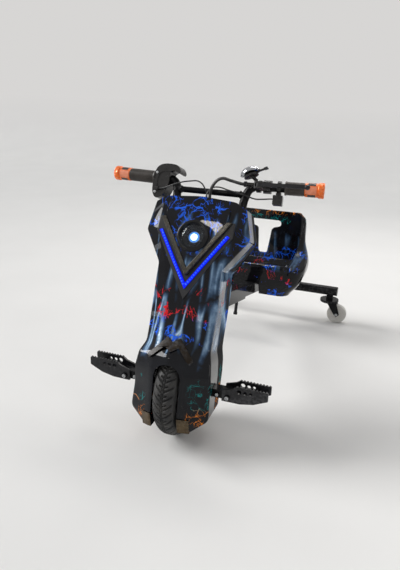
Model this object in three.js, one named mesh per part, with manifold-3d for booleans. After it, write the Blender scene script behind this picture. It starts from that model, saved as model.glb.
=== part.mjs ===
// Electric drift tricycle: a hub-motor front wheel under a tall steering fairing,
// a bucket seat on a telescopic beam, and a rear bar on two swivel casters.
// Millimetres. X points to the rider's left, Y backwards, Z up.
import * as THREE from 'three';
import Module from 'manifold-3d';
import { mergeVertices } from 'three/addons/utils/BufferGeometryUtils.js';

// Whole vehicle
const wheelbase = 915;
const rakeAngle = THREE.MathUtils.degToRad(20);
const clearance = 0.3;
const overrun = 40;

// Front wheel and hub motor
const tyreRadius = 127;
const tyreHalfWidth = 29.5;
const tyreBeadHalfWidth = 19;
const rimRadius = 84;
const rimHalfWidth = 24;
const rimWall = 8;
const coverThickness = 4;
const coverBulge = 14;
const hubRadius = 30;
const statorRadius = 68;
const statorHalfWidth = 14;
const axleRadius = 6;
const axleNutRadius = 10;
const axleNutThickness = 8;

// Fork and steering column, measured along the raked steering axis from the axle
const forkGap = 50;
const bladeThickness = 8;
const bladeWidth = 36;
const bladeDrop = 22;
const crownHeight = 147;
const crownThickness = 12;
const crownDepth = 50;
const stemRadius = 14;
const bearingHeight = 12;
const headTubeRadius = 23;
const headTubeWall = 6;
const headTubeLength = 100;
const stemNutRadius = 21;
const stemNutHeight = 10;

// Fairing
const fairingHalfWidth = 139;
const fairingHeight = 562;
const footDrop = 96;
const fairingReach = 127;
const seamDepth = 80;
const rearShellDepth = 120;
const fairingWall = 4;
const archHalfWidth = 35;
const archTop = 63;
const wheelGap = 6;
const neckSlotLow = 170;
const neckSlotHeight = 80;
const neckSlotShare = 0.5072;
const neckSlotHalfWidth = fairingHalfWidth * neckSlotShare;
const fairingTop = fairingHeight - footDrop;
const bracketThickness = 6;
const bracketDepth = 30;

// Chevron on the front face, with depths below the fairing's top
const chevronShare = 0.6763;
const panelShare = 0.7194;
const ledShare = 0.6619;
const chevronDepth = 37;
const trimDepth = 180;
const trimBand = 20;
const raisedRise = 6;
const panelDepth = 238;
const ledDepth = 212;
const ledBand = 14;
const ledTopDepth = 73;
const chevronHalfWidth = fairingHalfWidth * chevronShare;
const chevronTop = fairingTop - chevronDepth;
const trimApex = fairingTop - trimDepth;
const raisedTop = fairingTop + raisedRise;
const panelApex = fairingTop - panelDepth;
const panelHalfWidth = fairingHalfWidth * panelShare;
const ledApex = fairingTop - ledDepth;
const ledHalfWidth = fairingHalfWidth * ledShare;
const ledTop = fairingTop - ledTopDepth;
const panelStand = 3;
const ledStand = 8;
const faceTopReach = 73;
const faceApexReach = 96;

// Headlamp, brow and foot trims
const lampDepth = 80;
const lampHeight = fairingTop - lampDepth;
const lampRadius = 36;
const bezelRadius = 41;
const bezelStand = 5;
const bezelDepth = 14;
const bezelWall = 4;
const lensBulge = 9;
const lensEdge = 4;
const browHeight = 121;
const browBand = 23;
const browHalfWidth = 60;
const browStand = 6;
const footTrimWidth = 28;
const footTrimHeight = 34;
const footTrimStand = 2.5;

// Handlebar, in steering coordinates
const barRadius = 11;
const barClampDepth = 26;
const barClampHeight = fairingTop - barClampDepth;
const riserShare = 0.6547;
const riserHalfWidth = fairingHalfWidth * riserShare;
const riserHoleRadius = 15;
const barEndStart = 125;
const barRise = 99;
const barEndHeight = barClampHeight + barRise;
const barEndSetback = 12;
const barEndLength = 158;
const gripSweep = THREE.MathUtils.degToRad(4.5);
const gripRise = THREE.MathUtils.degToRad(2);
const crossbarShare = 0.7374;
const crossbarHeight = barClampHeight + barRise * crossbarShare;
const crossbarSetback = 6;
const crossbarRadius = 8;
const clampHalfWidth = 22;
const clampDepth = 36;
const clampFloor = 5;
const bracketDrop = 29;
const stemTop = barClampHeight - barRadius - clampFloor;
const bracketHeight = stemTop - bracketDrop;

// Grips, measured outwards along the grip axis from the bend
const gripRadius = 17;
const gripStart = 67;
const throttleStart = 38;
const capStart = 116.5;
const capRadius = 17.4;
const capEnd = 164;
const flangeRadius = 19.5;
const flangeLength = 13;
const windowDepth = 2.5;
const windowWidth = 13;
const windowLength = 22;
const windowMargin = 5;

// Throttle housing
const housingReach = 37;
const housingRise = 37;
const housingDrop = 58;
const housingDepth = 38;
const nippleRadius = 4.5;
const nippleLength = 12;

// Brake lever and its bracket
const bracketRingStart = 13;
const bracketRingLength = 20;
const controlRingRadius = 17;
const leverPivot = 5;
const leverReach = 36;
const leverDrop = 3;
const leverLength = 120;
const leverThickness = 9;
const leverBallRadius = 7;
const leverHubRadius = 8;
const leverPinRadius = 3;
const earThickness = 4;
const barrelRadius = 5;
const barrelLength = 24;

// Switch block
const switchStart = 40;
const switchWidth = 25;
const switchTop = 15;
const switchHeight = 31;
const switchDepth = 26;
const switchRingLength = 10;
const buttonRadius = 6;
const buttonStand = 4;
const buttonTravel = 2;

// Bell
const bellPlace = 105;
const bellForward = 8;
const bellStand = 24;
const bellHeight = barEndHeight + bellStand;
const bellTilt = THREE.MathUtils.degToRad(25);
const bellRadius = 26;
const bellRise = 16;
const bellWall = 1.6;
const bellBaseRadius = 19;
const bellBaseThickness = 5;
const bellRingStart = -5;
const bellRingLength = 12;
const bellRingRadius = 15.5;
const bellArmRadius = 4.5;
const bellPostRadius = 3;
const bellLeverLength = 46;
const bellLeverThickness = 3;
const bellLeverWidth = 9;

// Cables held by the vehicle
const sleeveRadius = 4;
const wireRadius = 1.8;
const cableReach = 27.5;
const cableHoleRadius = 14;
const cableHoleForward = 9;

// Foot pegs, in upright coordinates
const pegPivot = 140;
const pegHeight = 150;
const pegPinRadius = 5;
const pegPinHeadRadius = 7.5;
const pegPinHead = 2.5;
const pegRoot = 126;
const pegEnd = 241;
const pegFront = 45;
const pegWidth = 40;
const pegPlate = 6;
const pegRise = 34;
const pegDrop = 12;
const pegToothDepth = 3;
const pegToothCount = 10;
const pegWebStart = 158;
const pegHoleRadius = 6;
const pegTongueRise = 12;
const pegTongueDrop = 10;
const pegTongueEnd = 150;
const pegSlotGap = 3;
const pegBaseThickness = 6;
const pegBaseRise = 20;
const pegBaseBack = 20;
const pegBoltRadius = 5;

// Telescopic beam, measured along the beam from the steering axis
const neckMeeting = 28.22;
const outerTubeShare = 0.5421;
const innerTubeShare = 0.5745;
const lockSetback = 22;
const outerTubeSide = 46;
const outerTubeWall = 4;
const neckThickness = 24;
const neckHeight = 56;
const neckLength = 128;
const innerTubeSide = 37;
const innerTubeWall = 3;
const lockBossRadius = 9;
const lockBossHeight = 8;
const lockStemRadius = 4;
const lockRadius = 5.5;
const lockLength = 46;
const lockEndRadius = 7;
const lockEndLength = 8;

// Rear bar
const rearBarRadius = 18;
const rearBarWall = 2.5;
const rearBarHalfLength = 290;
const rearBarHeight = 128;
const barSleeveHalfLength = 45;
const barSleeveWall = 4;
const barCapThickness = 3;
const barCapPlug = 10;

// Casters
const casterPlace = 265;
const casterBossRadius = 13;
const casterBossBottom = 94;
const casterBoltRadius = 6;
const casterBoltTop = 108;
const casterNutRadius = 10;
const casterNutHeight = 7;
const casterPlateRadius = 36;
const casterPlateThickness = 9;
const casterWheelRadius = 37.5;
const casterWheelHalfWidth = 13;
const casterTrail = 34;
const casterLegGap = 15.5;
const casterLegThickness = 3;
const casterLegRadius = 11;
const casterAxleRadius = 4;

// Seat
const seatHalfWidth = 187;
const seatToRearBar = 239;
const seatFront = wheelbase - seatToRearBar;
const seatDepth = 187;
const seatBottom = 150;
const seatHeight = 283;
const seatPanShare = 0.297;
const slotTopShare = 0.883;
const slotStemShare = 0.438;
const seatPanBottom = seatBottom + seatHeight * seatPanShare;
const slotHalfWidth = 60;
const slotTop = seatBottom + seatHeight * slotTopShare;
const slotHeight = 24;
const slotStemHalfWidth = 18;
const slotStemBottom = seatBottom + seatHeight * slotStemShare;
const notchHalfWidth = 26;
const notchDepth = 46;
const frontNotchRise = 50;
const rearNotchRise = 23;
const frontNotchTop = seatBottom + frontNotchRise;
const rearNotchTop = seatBottom + rearNotchRise;

// Seat carrier
const seatPlateHalfWidth = 120;
const seatPlateRise = 40;
const seatPlateThickness = 3;
const seatPlateSetback = 26;
const seatPlateDepth = 98;
const seatPlateBottom = seatBottom + seatPlateRise;
const seatPlateFront = seatFront + seatPlateSetback;
const seatPlateBack = seatPlateFront + seatPlateDepth;
const seatPostPlace = 108;
const seatPostSide = 16;
const seatRiserHalfWidth = 15;
const seatRiserDepth = 18;

// Battery box under the seat
const batteryHalfWidth = 95;
const batterySetback = 7;
const batteryDepth = 90;
const batteryFront = seatPlateFront + batterySetback;
const batteryBack = batteryFront + batteryDepth;
const batteryWall = 2.5;
const batteryHeadroom = 8;
const batteryHeight = seatPanBottom - seatPlateBottom - batteryHeadroom;
const lidThickness = 2.5;
const packLength = 120;
const packHeadroom = 6;
const packHeight = batteryHeight - packHeadroom;
const packMargin = 4;
const controllerLength = 46;
const controllerHeight = packHeight - packHeadroom;
const socketPlace = 70;
const socketRise = 46;
const socketHeight = seatBottom + socketRise;
const socketRadius = 9;
const socketDepth = 18;
const socketSetback = 153.5;
const socketBack = seatFront + socketSetback;
const socketFlangeRadius = 12;
const socketFlange = 2.5;

// Round sections
const wheelSides = 40;
const roundSides = 20;
const smallSides = 12;
const cableSides = 8;
const bendSteps = 18;
const cableSteps = 36;

const wasm = await Module();
wasm.setup();

// Finishes
const finishes = {
  glossBlack: { color: 0x08090c, roughness: 0.12, metalness: 0.0 },
  frameBlack: { color: 0x0b0b0c, roughness: 0.3, metalness: 0.2 },
  mattBlack: { color: 0x161516, roughness: 0.65, metalness: 0.0 },
  bronze: { color: 0x4a4438, roughness: 0.45, metalness: 0.5 },
  ledBlue: { color: 0x1030e8, roughness: 0.4, metalness: 0.0 },
  lens: { color: 0x9fc4ff, roughness: 0.05, metalness: 0.0 },
  rubber: { color: 0x1b1816, roughness: 0.8, metalness: 0.0 },
  orange: { color: 0xe04a08, roughness: 0.3, metalness: 0.3 },
  tread: { color: 0x1d1d1d, roughness: 0.9, metalness: 0.0 },
  castAlloy: { color: 0x6f7276, roughness: 0.45, metalness: 0.8 },
  steel: { color: 0xa9abad, roughness: 0.35, metalness: 1.0 },
  chrome: { color: 0xd8dadd, roughness: 0.08, metalness: 1.0 },
  copper: { color: 0x8a4a22, roughness: 0.5, metalness: 0.7 },
  paleWheel: { color: 0xd9d6cf, roughness: 0.5, metalness: 0.0 },
  greyPlastic: { color: 0x44474b, roughness: 0.6, metalness: 0.0 },
  bluePack: { color: 0x1f3d7a, roughness: 0.5, metalness: 0.0 },
};

// Solids and booleans
function solid(geometry) {
  const bare = geometry.index ? geometry.toNonIndexed() : geometry.clone();
  bare.deleteAttribute('normal');
  bare.deleteAttribute('uv');
  const merged = mergeVertices(bare);
  return new wasm.Manifold(new wasm.Mesh({
    numProp: 3,
    vertProperties: new Float32Array(merged.attributes.position.array),
    triVerts: new Uint32Array(merged.index.array),
  }));
}

function geometryOf(body) {
  const mesh = body.getMesh();
  const geometry = new THREE.BufferGeometry();
  geometry.setAttribute('position', new THREE.BufferAttribute(mesh.vertProperties, mesh.numProp));
  geometry.setIndex(new THREE.BufferAttribute(mesh.triVerts, 1));
  geometry.computeVertexNormals();
  return geometry;
}

const join = (first, ...others) => others.reduce((sum, other) => sum.add(other), first);
const cut = (first, ...others) => others.reduce((rest, other) => rest.subtract(other), first);
const common = (first, ...others) => others.reduce((rest, other) => rest.intersect(other), first);

// Simple shapes
function box(xLow, xHigh, yLow, yHigh, zLow, zHigh) {
  const geometry = new THREE.BoxGeometry(xHigh - xLow, yHigh - yLow, zHigh - zLow);
  geometry.translate((xLow + xHigh) / 2, (yLow + yHigh) / 2, (zLow + zHigh) / 2);
  return solid(geometry);
}

function rod(from, to, radius, count = smallSides) {
  const start = new THREE.Vector3(...from);
  const end = new THREE.Vector3(...to);
  const direction = end.clone().sub(start);
  const geometry = new THREE.CylinderGeometry(radius, radius, direction.length(), count);
  const up = new THREE.Vector3(0, 1, 0);
  geometry.applyQuaternion(new THREE.Quaternion().setFromUnitVectors(up, direction.normalize()));
  const middle = start.add(end).multiplyScalar(0.5);
  return solid(geometry.translate(middle.x, middle.y, middle.z));
}

const rodAlongX = (from, to, y, z, radius, count) => rod([from, y, z], [to, y, z], radius, count);
const rodAlongY = (x, from, to, z, radius, count) => rod([x, from, z], [x, to, z], radius, count);
const rodAlongZ = (x, y, from, to, radius, count) => rod([x, y, from], [x, y, to], radius, count);

// A closed profile of [radius, place] points, turned about the Y axis.
function turned(profile, count) {
  const points = profile.map(([radius, place]) => new THREE.Vector2(radius, place));
  const anticlockwise = THREE.ShapeUtils.isClockWise(points) ? points.reverse() : points;
  return new THREE.LatheGeometry([...anticlockwise, anticlockwise[0]], count);
}

const turnedAboutX = (profile, count) => solid(turned(profile, count).rotateZ(-Math.PI / 2));

function ringAlongZ(inner, outer, from, to, count = roundSides) {
  const profile = [[inner, from], [outer, from], [outer, to], [inner, to]];
  return solid(turned(profile, count).rotateX(Math.PI / 2));
}

const outline = (points) => new THREE.Shape(points.map(([a, b]) => new THREE.Vector2(a, b)));

function extruded(points, depth) {
  return new THREE.ExtrudeGeometry(outline(points), { depth, bevelEnabled: false });
}

// An outline in X and Z, solid between two places along Y.
function frontPrism(points, from, to) {
  return solid(extruded(points, to - from).rotateX(Math.PI / 2).translate(0, to, 0));
}

// An outline in Y and Z, solid between two places along X.
function sidePrism(points, from, to) {
  const basis = new THREE.Matrix4().makeBasis(
    new THREE.Vector3(0, 1, 0),
    new THREE.Vector3(0, 0, 1),
    new THREE.Vector3(1, 0, 0),
  );
  return solid(extruded(points, to - from).applyMatrix4(basis).translate(from, 0, 0));
}

// An outline in X and Y, solid between two heights.
function topPrism(points, from, to) {
  return solid(extruded(points, to - from).translate(0, 0, from));
}

function tubeAlong(points, radius, count, steps) {
  const path = new THREE.CatmullRomCurve3(points, false, 'centripetal');
  const corners = Array.from({ length: count }, (_, i) => {
    const angle = (i / count) * Math.PI * 2;
    return [radius * Math.cos(angle), radius * Math.sin(angle)];
  });
  return new THREE.ExtrudeGeometry(outline(corners), { steps, bevelEnabled: false, extrudePath: path });
}

// A solid skinned over rings of equal point counts, lowest first, each anticlockwise from above.
function loft(rings) {
  const count = rings[0].length;
  const indices = [];
  for (let i = 0; i + 1 < rings.length; i += 1) {
    for (let j = 0; j < count; j += 1) {
      const here = i * count + j;
      const next = i * count + ((j + 1) % count);
      indices.push(here, next, next + count, here, next + count, here + count);
    }
  }
  const middle = (ring) => ring
    .reduce((sum, point) => sum.add(point), new THREE.Vector3())
    .divideScalar(count);
  const points = [...rings.flat(), middle(rings[0]), middle(rings.at(-1))];
  const bottom = points.length - 2;
  const topStart = (rings.length - 1) * count;
  for (let j = 0; j < count; j += 1) {
    const next = (j + 1) % count;
    indices.push(bottom, next, j, bottom + 1, topStart + j, topStart + next);
  }
  const geometry = new THREE.BufferGeometry();
  const positions = points.flatMap((point) => point.toArray());
  geometry.setAttribute('position', new THREE.Float32BufferAttribute(positions, 3));
  geometry.setIndex(indices);
  return solid(geometry);
}

// Places and frames
const crownTop = crownHeight + crownThickness;
const headTubeLow = crownTop + bearingHeight + 2 * clearance;
const headTubeHigh = headTubeLow + headTubeLength;
const headDistance = headTubeLow + neckMeeting;
const headY = headDistance * Math.sin(rakeAngle);
const headZ = tyreRadius + headDistance * Math.cos(rakeAngle);
const beamAngle = Math.atan((headZ - rearBarHeight) / (wheelbase - headY));
const beamLength = (wheelbase - headY) / Math.cos(beamAngle);
const outerTubeEnd = beamLength * outerTubeShare;
const innerTubeStart = outerTubeEnd * innerTubeShare;
const lockPlace = outerTubeEnd - lockSetback;
const rearReach = wheelbase + casterPlateRadius;
const sides = [{ label: 'left', sign: 1 }, { label: 'right', sign: -1 }];

const tricycle = new THREE.Group();
const vehicle = new THREE.Group();
const steering = new THREE.Group();
const beam = new THREE.Group();
tricycle.add(vehicle);
vehicle.add(steering, beam);
vehicle.position.y = (tyreRadius - rearReach) / 2;
steering.rotation.x = -rakeAngle;
steering.position.z = tyreRadius;
beam.rotation.x = -beamAngle;
beam.position.set(0, headY, headZ);
steering.updateMatrix();
beam.updateMatrix();

function moved(body, matrix) {
  return body.transform(matrix.elements);
}

const beamToVehicle = beam.matrix;
const vehicleToSteering = steering.matrix.clone().invert();
const steeringToBeam = beam.matrix.clone().invert().multiply(steering.matrix);

function barEndMatrix(sign) {
  const turn = new THREE.Euler(0, -sign * gripRise, sign * gripSweep, 'ZYX');
  return new THREE.Matrix4()
    .makeRotationFromEuler(turn)
    .setPosition(sign * barEndStart, barEndSetback, barEndHeight);
}

function addPart(group, name, body, finish) {
  const geometry = body.isBufferGeometry ? body : geometryOf(body);
  const mesh = new THREE.Mesh(geometry, new THREE.MeshStandardMaterial(finishes[finish]));
  mesh.name = name;
  group.add(mesh);
}

// Front wheel
function tyre() {
  const profileShares = [[0.82, 0.98], [0.9, 0.92], [0.955, 0.74], [0.988, 0.46], [1, 0.16]];
  const rising = profileShares.map(([radius, width]) => [radius * tyreRadius, width * tyreHalfWidth]);
  const falling = rising.map(([radius, place]) => [radius, -place]).reverse();
  const bead = rimRadius + clearance;
  return turnedAboutX([
    [bead, -tyreBeadHalfWidth],
    [bead, tyreBeadHalfWidth],
    ...rising,
    ...falling,
  ], wheelSides);
}

const coverOut = rimHalfWidth + coverBulge;

function hubMotor() {
  const bore = axleRadius + clearance;
  return turnedAboutX([
    [bore, coverOut],
    [bore, coverOut - coverThickness],
    [hubRadius, coverOut - coverThickness],
    [rimRadius - rimWall, rimHalfWidth - coverThickness],
    [rimRadius - rimWall, -rimHalfWidth],
    [rimRadius, -rimHalfWidth],
    [rimRadius, rimHalfWidth],
    [hubRadius, coverOut],
  ], wheelSides);
}

function motorCover() {
  const bore = axleRadius + clearance;
  const seat = rimHalfWidth + clearance;
  return turnedAboutX([
    [bore, -coverOut],
    [hubRadius, -coverOut],
    [rimRadius, -seat - coverThickness],
    [rimRadius, -seat],
    [rimRadius - rimWall, -seat],
    [hubRadius, coverThickness - coverOut],
    [bore, coverThickness - coverOut],
  ], wheelSides);
}

function motorStator() {
  const bore = axleRadius + clearance;
  return turnedAboutX([
    [bore, statorHalfWidth],
    [bore, -statorHalfWidth],
    [statorRadius, -statorHalfWidth],
    [statorRadius, statorHalfWidth],
  ], roundSides);
}

function frontAxle() {
  const nutIn = forkGap + bladeThickness + clearance;
  const nutOut = nutIn + axleNutThickness;
  const shaftEnd = nutOut + clearance * 10;
  const shaft = rodAlongX(-shaftEnd, shaftEnd, 0, 0, axleRadius);
  const nuts = sides.map(({ sign }) => rodAlongX(sign * nutIn, sign * nutOut, 0, 0, axleNutRadius, 6));
  return join(shaft, ...nuts);
}

// Fairing stations, lowest first, as shares
// height, centre reach, edge width, edge reach, side width, side reach
const frontShares = [
  [0.000, 0.614, 0.302, 0.614, 0.460, 0.504],
  [0.062, 0.787, 0.273, 0.787, 0.755, 0.504],
  [0.167, 0.913, 0.302, 0.850, 0.734, 0.551],
  [0.254, 1.000, 0.331, 0.898, 0.734, 0.669],
  [0.319, 0.976, 0.331, 0.882, 0.698, 0.669],
  [0.367, 0.850, 0.302, 0.772, 0.626, 0.551],
  [0.438, 0.740, 0.302, 0.693, 0.626, 0.528],
  [0.546, 0.646, 0.331, 0.622, 0.633, 0.520],
  [0.726, 0.614, 0.446, 0.598, 0.612, 0.551],
  [0.870, 0.551, 0.705, 0.535, 1.000, 0.394],
  [1.000, 0.472, 0.662, 0.472, 0.870, 0.433],
];

// seam width, seam depth, seam rise, crown rise
const seamShares = [
  [0.432, 0.500, 0.080, 0.000],
  [0.662, 0.700, 0.032, 0.000],
  [0.647, 0.750, 0.000, 0.000],
  [0.633, 0.800, 0.000, 0.000],
  [0.604, 0.850, 0.000, 0.000],
  [0.547, 0.925, 0.000, 0.000],
  [0.540, 0.962, 0.000, 0.000],
  [0.540, 1.000, 0.000, 0.000],
  [0.532, 0.975, 0.000, 0.000],
  [0.971, 0.550, 0.000, 0.000],
  [0.842, 0.425, 0.000, 0.041],
];

// back depth of the rear shell, from its lowest station up
const rearStart = 3;
const backShares = [0.735, 0.767, 0.780, 0.792, 0.842, 1.000, 0.900, 0.660];

// The point as far beyond the second point as the given length along Y.
function beyond(first, second, length) {
  const share = length / (second.y - first.y);
  return second.clone().addScaledVector(second.clone().sub(first), share);
}

// The front shell's body drawn in by an inset, which is negative to stand proud of it.
function frontBody(inset, stretch = 0) {
  const last = frontShares.length - 1;
  return loft(frontShares.map(([height, centreReach, edgeWidth, edgeReach, sideWidth, sideReach], i) => {
    const [seamWidth, seamShare, seamRise, crownRise] = seamShares[i];
    const lift = (i === 0 ? inset : 0) - (i === last ? inset : 0);
    const z = height * fairingHeight - footDrop + lift;
    const crown = crownRise * fairingHeight;
    const right = [
      new THREE.Vector3(edgeWidth * fairingHalfWidth, inset - edgeReach * fairingReach, z + crown * 0.7),
      new THREE.Vector3(sideWidth * fairingHalfWidth - inset, inset - sideReach * fairingReach, z),
      new THREE.Vector3(seamWidth * fairingHalfWidth - inset, seamShare * seamDepth, z + seamRise * fairingHeight),
    ];
    right[2] = beyond(right[1], right[2], stretch);
    const left = right.map((point) => new THREE.Vector3(-point.x, point.y, point.z)).reverse();
    return [...right, ...left, new THREE.Vector3(0, inset - centreReach * fairingReach, z + crown)];
  }));
}

// The rear shell's body drawn in by an inset and stretched forwards.
function rearBody(inset, stretch = 0) {
  const last = backShares.length - 1;
  return loft(backShares.map((backShare, i) => {
    const [height] = frontShares[rearStart + i];
    const [seamWidth, seamShare] = seamShares[rearStart + i];
    const lift = (i === last ? -inset : 0) - (i === 0 ? inset : 0);
    const z = height * fairingHeight - footDrop + lift;
    const seamX = seamWidth * fairingHalfWidth - inset;
    const seamY = seamShare * seamDepth + clearance;
    const backY = backShare * rearShellDepth - inset;
    const side = new THREE.Vector3(seamX * 0.95, seamY + (backY - seamY) * 0.6, z);
    const front = new THREE.Vector3(seamX, seamY, z);
    const right = [
      beyond(side, front, -stretch),
      side,
      new THREE.Vector3(seamX * 0.7, backY, z),
    ];
    const left = right.map((point) => new THREE.Vector3(-point.x, point.y, point.z)).reverse();
    return [...right, ...left];
  }));
}

// The plane that the chevron and the raised face lie in
const faceSlope = (faceApexReach - faceTopReach) / (chevronTop - trimApex);
const faceTilt = Math.atan(faceSlope);
const faceReachAt = (z) => faceTopReach + (chevronTop - z) * faceSlope;

function behindFace(backOff) {
  const low = panelApex;
  const high = raisedTop + overrun;
  return sidePrism([
    [backOff - faceReachAt(low), low],
    [0, low],
    [0, high],
    [backOff - faceReachAt(high), high],
  ], -fairingHalfWidth, fairingHalfWidth);
}

const wholeFront = [-2 * fairingReach, 0];

// A V-shaped region, filled to the given top height.
function filledV(apex, halfWidth, shoulder, top) {
  return frontPrism([
    [0, apex],
    [halfWidth, shoulder],
    [halfWidth, top],
    [-halfWidth, top],
    [-halfWidth, shoulder],
  ], ...wholeFront);
}

function vBand(apex, band, halfWidth, top) {
  const innerHalf = halfWidth * (1 - 0.7 * band / (top - apex));
  const innerTop = top + band * 0.25;
  return frontPrism([
    [0, apex],
    [halfWidth, top],
    [innerHalf, innerTop],
    [0, apex + band],
    [-innerHalf, innerTop],
    [-halfWidth, top],
  ], ...wholeFront);
}

// A trim standing on the fairing, made from the region that it covers.
function standing(region, stand, gap = 1.5 * clearance) {
  return cut(common(region, frontBody(-stand)), frontBody(-gap));
}

const innerV = (offset) => filledV(
  trimApex + trimBand - 2 * offset,
  chevronHalfWidth - trimBand * 0.7 + offset,
  chevronTop,
  raisedTop,
);

function lampMatrix() {
  return new THREE.Matrix4()
    .makeRotationX(-faceTilt)
    .setPosition(0, -faceReachAt(lampHeight), lampHeight);
}

function lampBore(radius) {
  return moved(rodAlongY(0, -overrun, overrun, 0, radius, roundSides), lampMatrix());
}

function wheelArch() {
  const low = -fairingHeight;
  return frontPrism([
    [archHalfWidth, low],
    [archHalfWidth, archTop * 0.6],
    [archHalfWidth * 0.6, archTop],
    [-archHalfWidth * 0.6, archTop],
    [-archHalfWidth, archTop * 0.6],
    [-archHalfWidth, low],
  ], -2 * fairingReach, 2 * fairingReach);
}

function frontShell() {
  const skin = cut(frontBody(0), frontBody(fairingWall, overrun));
  const face = cut(
    common(innerV(-clearance), behindFace(0), frontBody(-overrun)),
    frontBody(fairingWall / 2),
  );
  const riserHoles = sides.map(({ sign }) => rodAlongZ(
    sign * riserHalfWidth * 0.97,
    barEndSetback / 4,
    barClampHeight + barRadius,
    crossbarHeight,
    riserHoleRadius,
  ));
  const cableHole = rodAlongZ(0, -cableHoleForward, barClampHeight, crossbarHeight, cableHoleRadius);
  const pegSlot = moved(box(
    -fairingHalfWidth,
    fairingHalfWidth,
    pegPlate - pegFront - pegSlotGap,
    pegWidth - pegFront - pegPlate + pegSlotGap,
    pegHeight - pegTongueDrop - pegSlotGap,
    pegHeight + pegTongueRise + pegSlotGap,
  ), vehicleToSteering);
  return cut(join(skin, face), wheelArch(), ...riserHoles, cableHole, pegSlot, lampBore(lampRadius));
}

function rearShell() {
  const slot = box(
    -neckSlotHalfWidth,
    neckSlotHalfWidth,
    0,
    2 * rearShellDepth,
    neckSlotLow,
    neckSlotLow + neckSlotHeight,
  );
  const archEdge = archHalfWidth + wheelGap;
  const arch = rodAlongX(-archEdge, archEdge, 0, 0, tyreRadius + wheelGap, wheelSides);
  return cut(rearBody(0), rearBody(fairingWall, overrun), slot, arch);
}

function shellBracket() {
  const bar = box(
    -fairingHalfWidth,
    fairingHalfWidth,
    -bracketDepth / 2,
    bracketDepth / 2,
    bracketHeight,
    bracketHeight + bracketThickness,
  );
  const bore = rodAlongZ(0, 0, 0, stemTop, stemRadius + clearance, roundSides);
  return cut(common(bar, frontBody(fairingWall + clearance, overrun)), bore);
}

function vTrim() {
  const region = filledV(trimApex, chevronHalfWidth, chevronTop, chevronTop + clearance);
  return cut(common(region, behindFace(0)), innerV(0), frontBody(-clearance));
}

function vPanel() {
  const region = frontPrism([
    [0, panelApex],
    [panelHalfWidth, ledTop],
    [panelHalfWidth, chevronTop],
    [-panelHalfWidth, chevronTop],
    [-panelHalfWidth, ledTop],
  ], ...wholeFront);
  const opening = filledV(
    trimApex - 2 * clearance,
    chevronHalfWidth + clearance,
    chevronTop,
    raisedTop,
  );
  return standing(cut(region, opening), panelStand);
}

function browTrim() {
  const right = [
    [0, browHeight],
    [browHalfWidth * 0.28, browHeight + browBand * 0.55],
    [browHalfWidth, browHeight - browBand * 1.6],
    [browHalfWidth * 0.88, browHeight - browBand * 2],
    [browHalfWidth * 0.3, browHeight - browBand * 0.5],
    [0, browHeight - browBand],
  ];
  const left = right.slice(1, -1).map(([x, z]) => [-x, z]).reverse();
  return standing(frontPrism([...right, ...left], ...wholeFront), browStand);
}

function footTrim(sign) {
  const inner = sign * (archHalfWidth + clearance);
  const outer = sign * (archHalfWidth + footTrimWidth);
  const high = footTrimHeight - footDrop;
  const low = -footDrop - 2 * footTrimStand;
  const corners = [[inner, low], [outer, low], [outer, high], [inner, high]];
  return standing(frontPrism(corners, -2 * fairingReach, -fairingReach / 2), footTrimStand);
}

function headlampBezel() {
  const bore = lampRadius - bezelWall;
  const collar = lampRadius - clearance;
  return moved(solid(turned([
    [bore, -bezelStand],
    [bezelRadius, -bezelStand],
    [bezelRadius, -clearance],
    [collar, -clearance],
    [collar, bezelDepth],
    [bore, bezelDepth],
  ], roundSides)), lampMatrix());
}

function headlampLens() {
  const radius = lampRadius - bezelWall - clearance;
  const domeShares = [0.3, 0.6, 0.85];
  const dome = domeShares.map((share) => [
    radius * Math.sqrt(1 - share * share),
    -lensEdge - lensBulge * share,
  ]);
  const profile = [
    [0, lensEdge],
    [radius, lensEdge],
    [radius, -lensEdge],
    ...dome,
    [0, -lensEdge - lensBulge],
  ];
  return moved(solid(turned(profile, roundSides)), lampMatrix());
}

// Fork and column
function fork() {
  const bladeOut = forkGap + bladeThickness;
  const halfWidth = bladeWidth / 2;
  const slab = box(-bladeOut, bladeOut, -halfWidth, halfWidth, -bladeDrop, crownTop);
  const blades = cut(slab, box(-forkGap, forkGap, -crownDepth, crownDepth, -bladeDrop * 2, crownHeight));
  const crown = box(-bladeOut, bladeOut, -crownDepth / 2, crownDepth / 2, crownHeight, crownTop);
  const lug = common(
    box(-fairingHalfWidth, fairingHalfWidth, -halfWidth, halfWidth, crownHeight, crownTop),
    frontBody(fairingWall + clearance, overrun),
  );
  const axleHole = rodAlongX(-fairingHalfWidth, fairingHalfWidth, 0, 0, axleRadius + clearance);
  return cut(join(blades, crown, lug), axleHole);
}

function stemNut() {
  const low = headTubeHigh + bearingHeight + 2 * clearance;
  const bore = rodAlongZ(0, 0, 0, 2 * low, stemRadius + clearance, roundSides);
  return cut(rodAlongZ(0, 0, low, low + stemNutHeight, stemNutRadius, 6), bore);
}

function bearing(low) {
  return ringAlongZ(stemRadius + clearance, headTubeRadius, low, low + bearingHeight);
}

// Handlebar
// across, back, up
const barShares = [
  [0.66, 0.00, 0.00],
  [0.80, 0.00, 0.02],
  [0.93, 0.08, 0.14],
  [1.00, 0.33, 0.40],
  [1.03, 0.67, 0.66],
  [1.10, 0.98, 0.87],
  [1.23, 1.05, 0.975],
];

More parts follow.
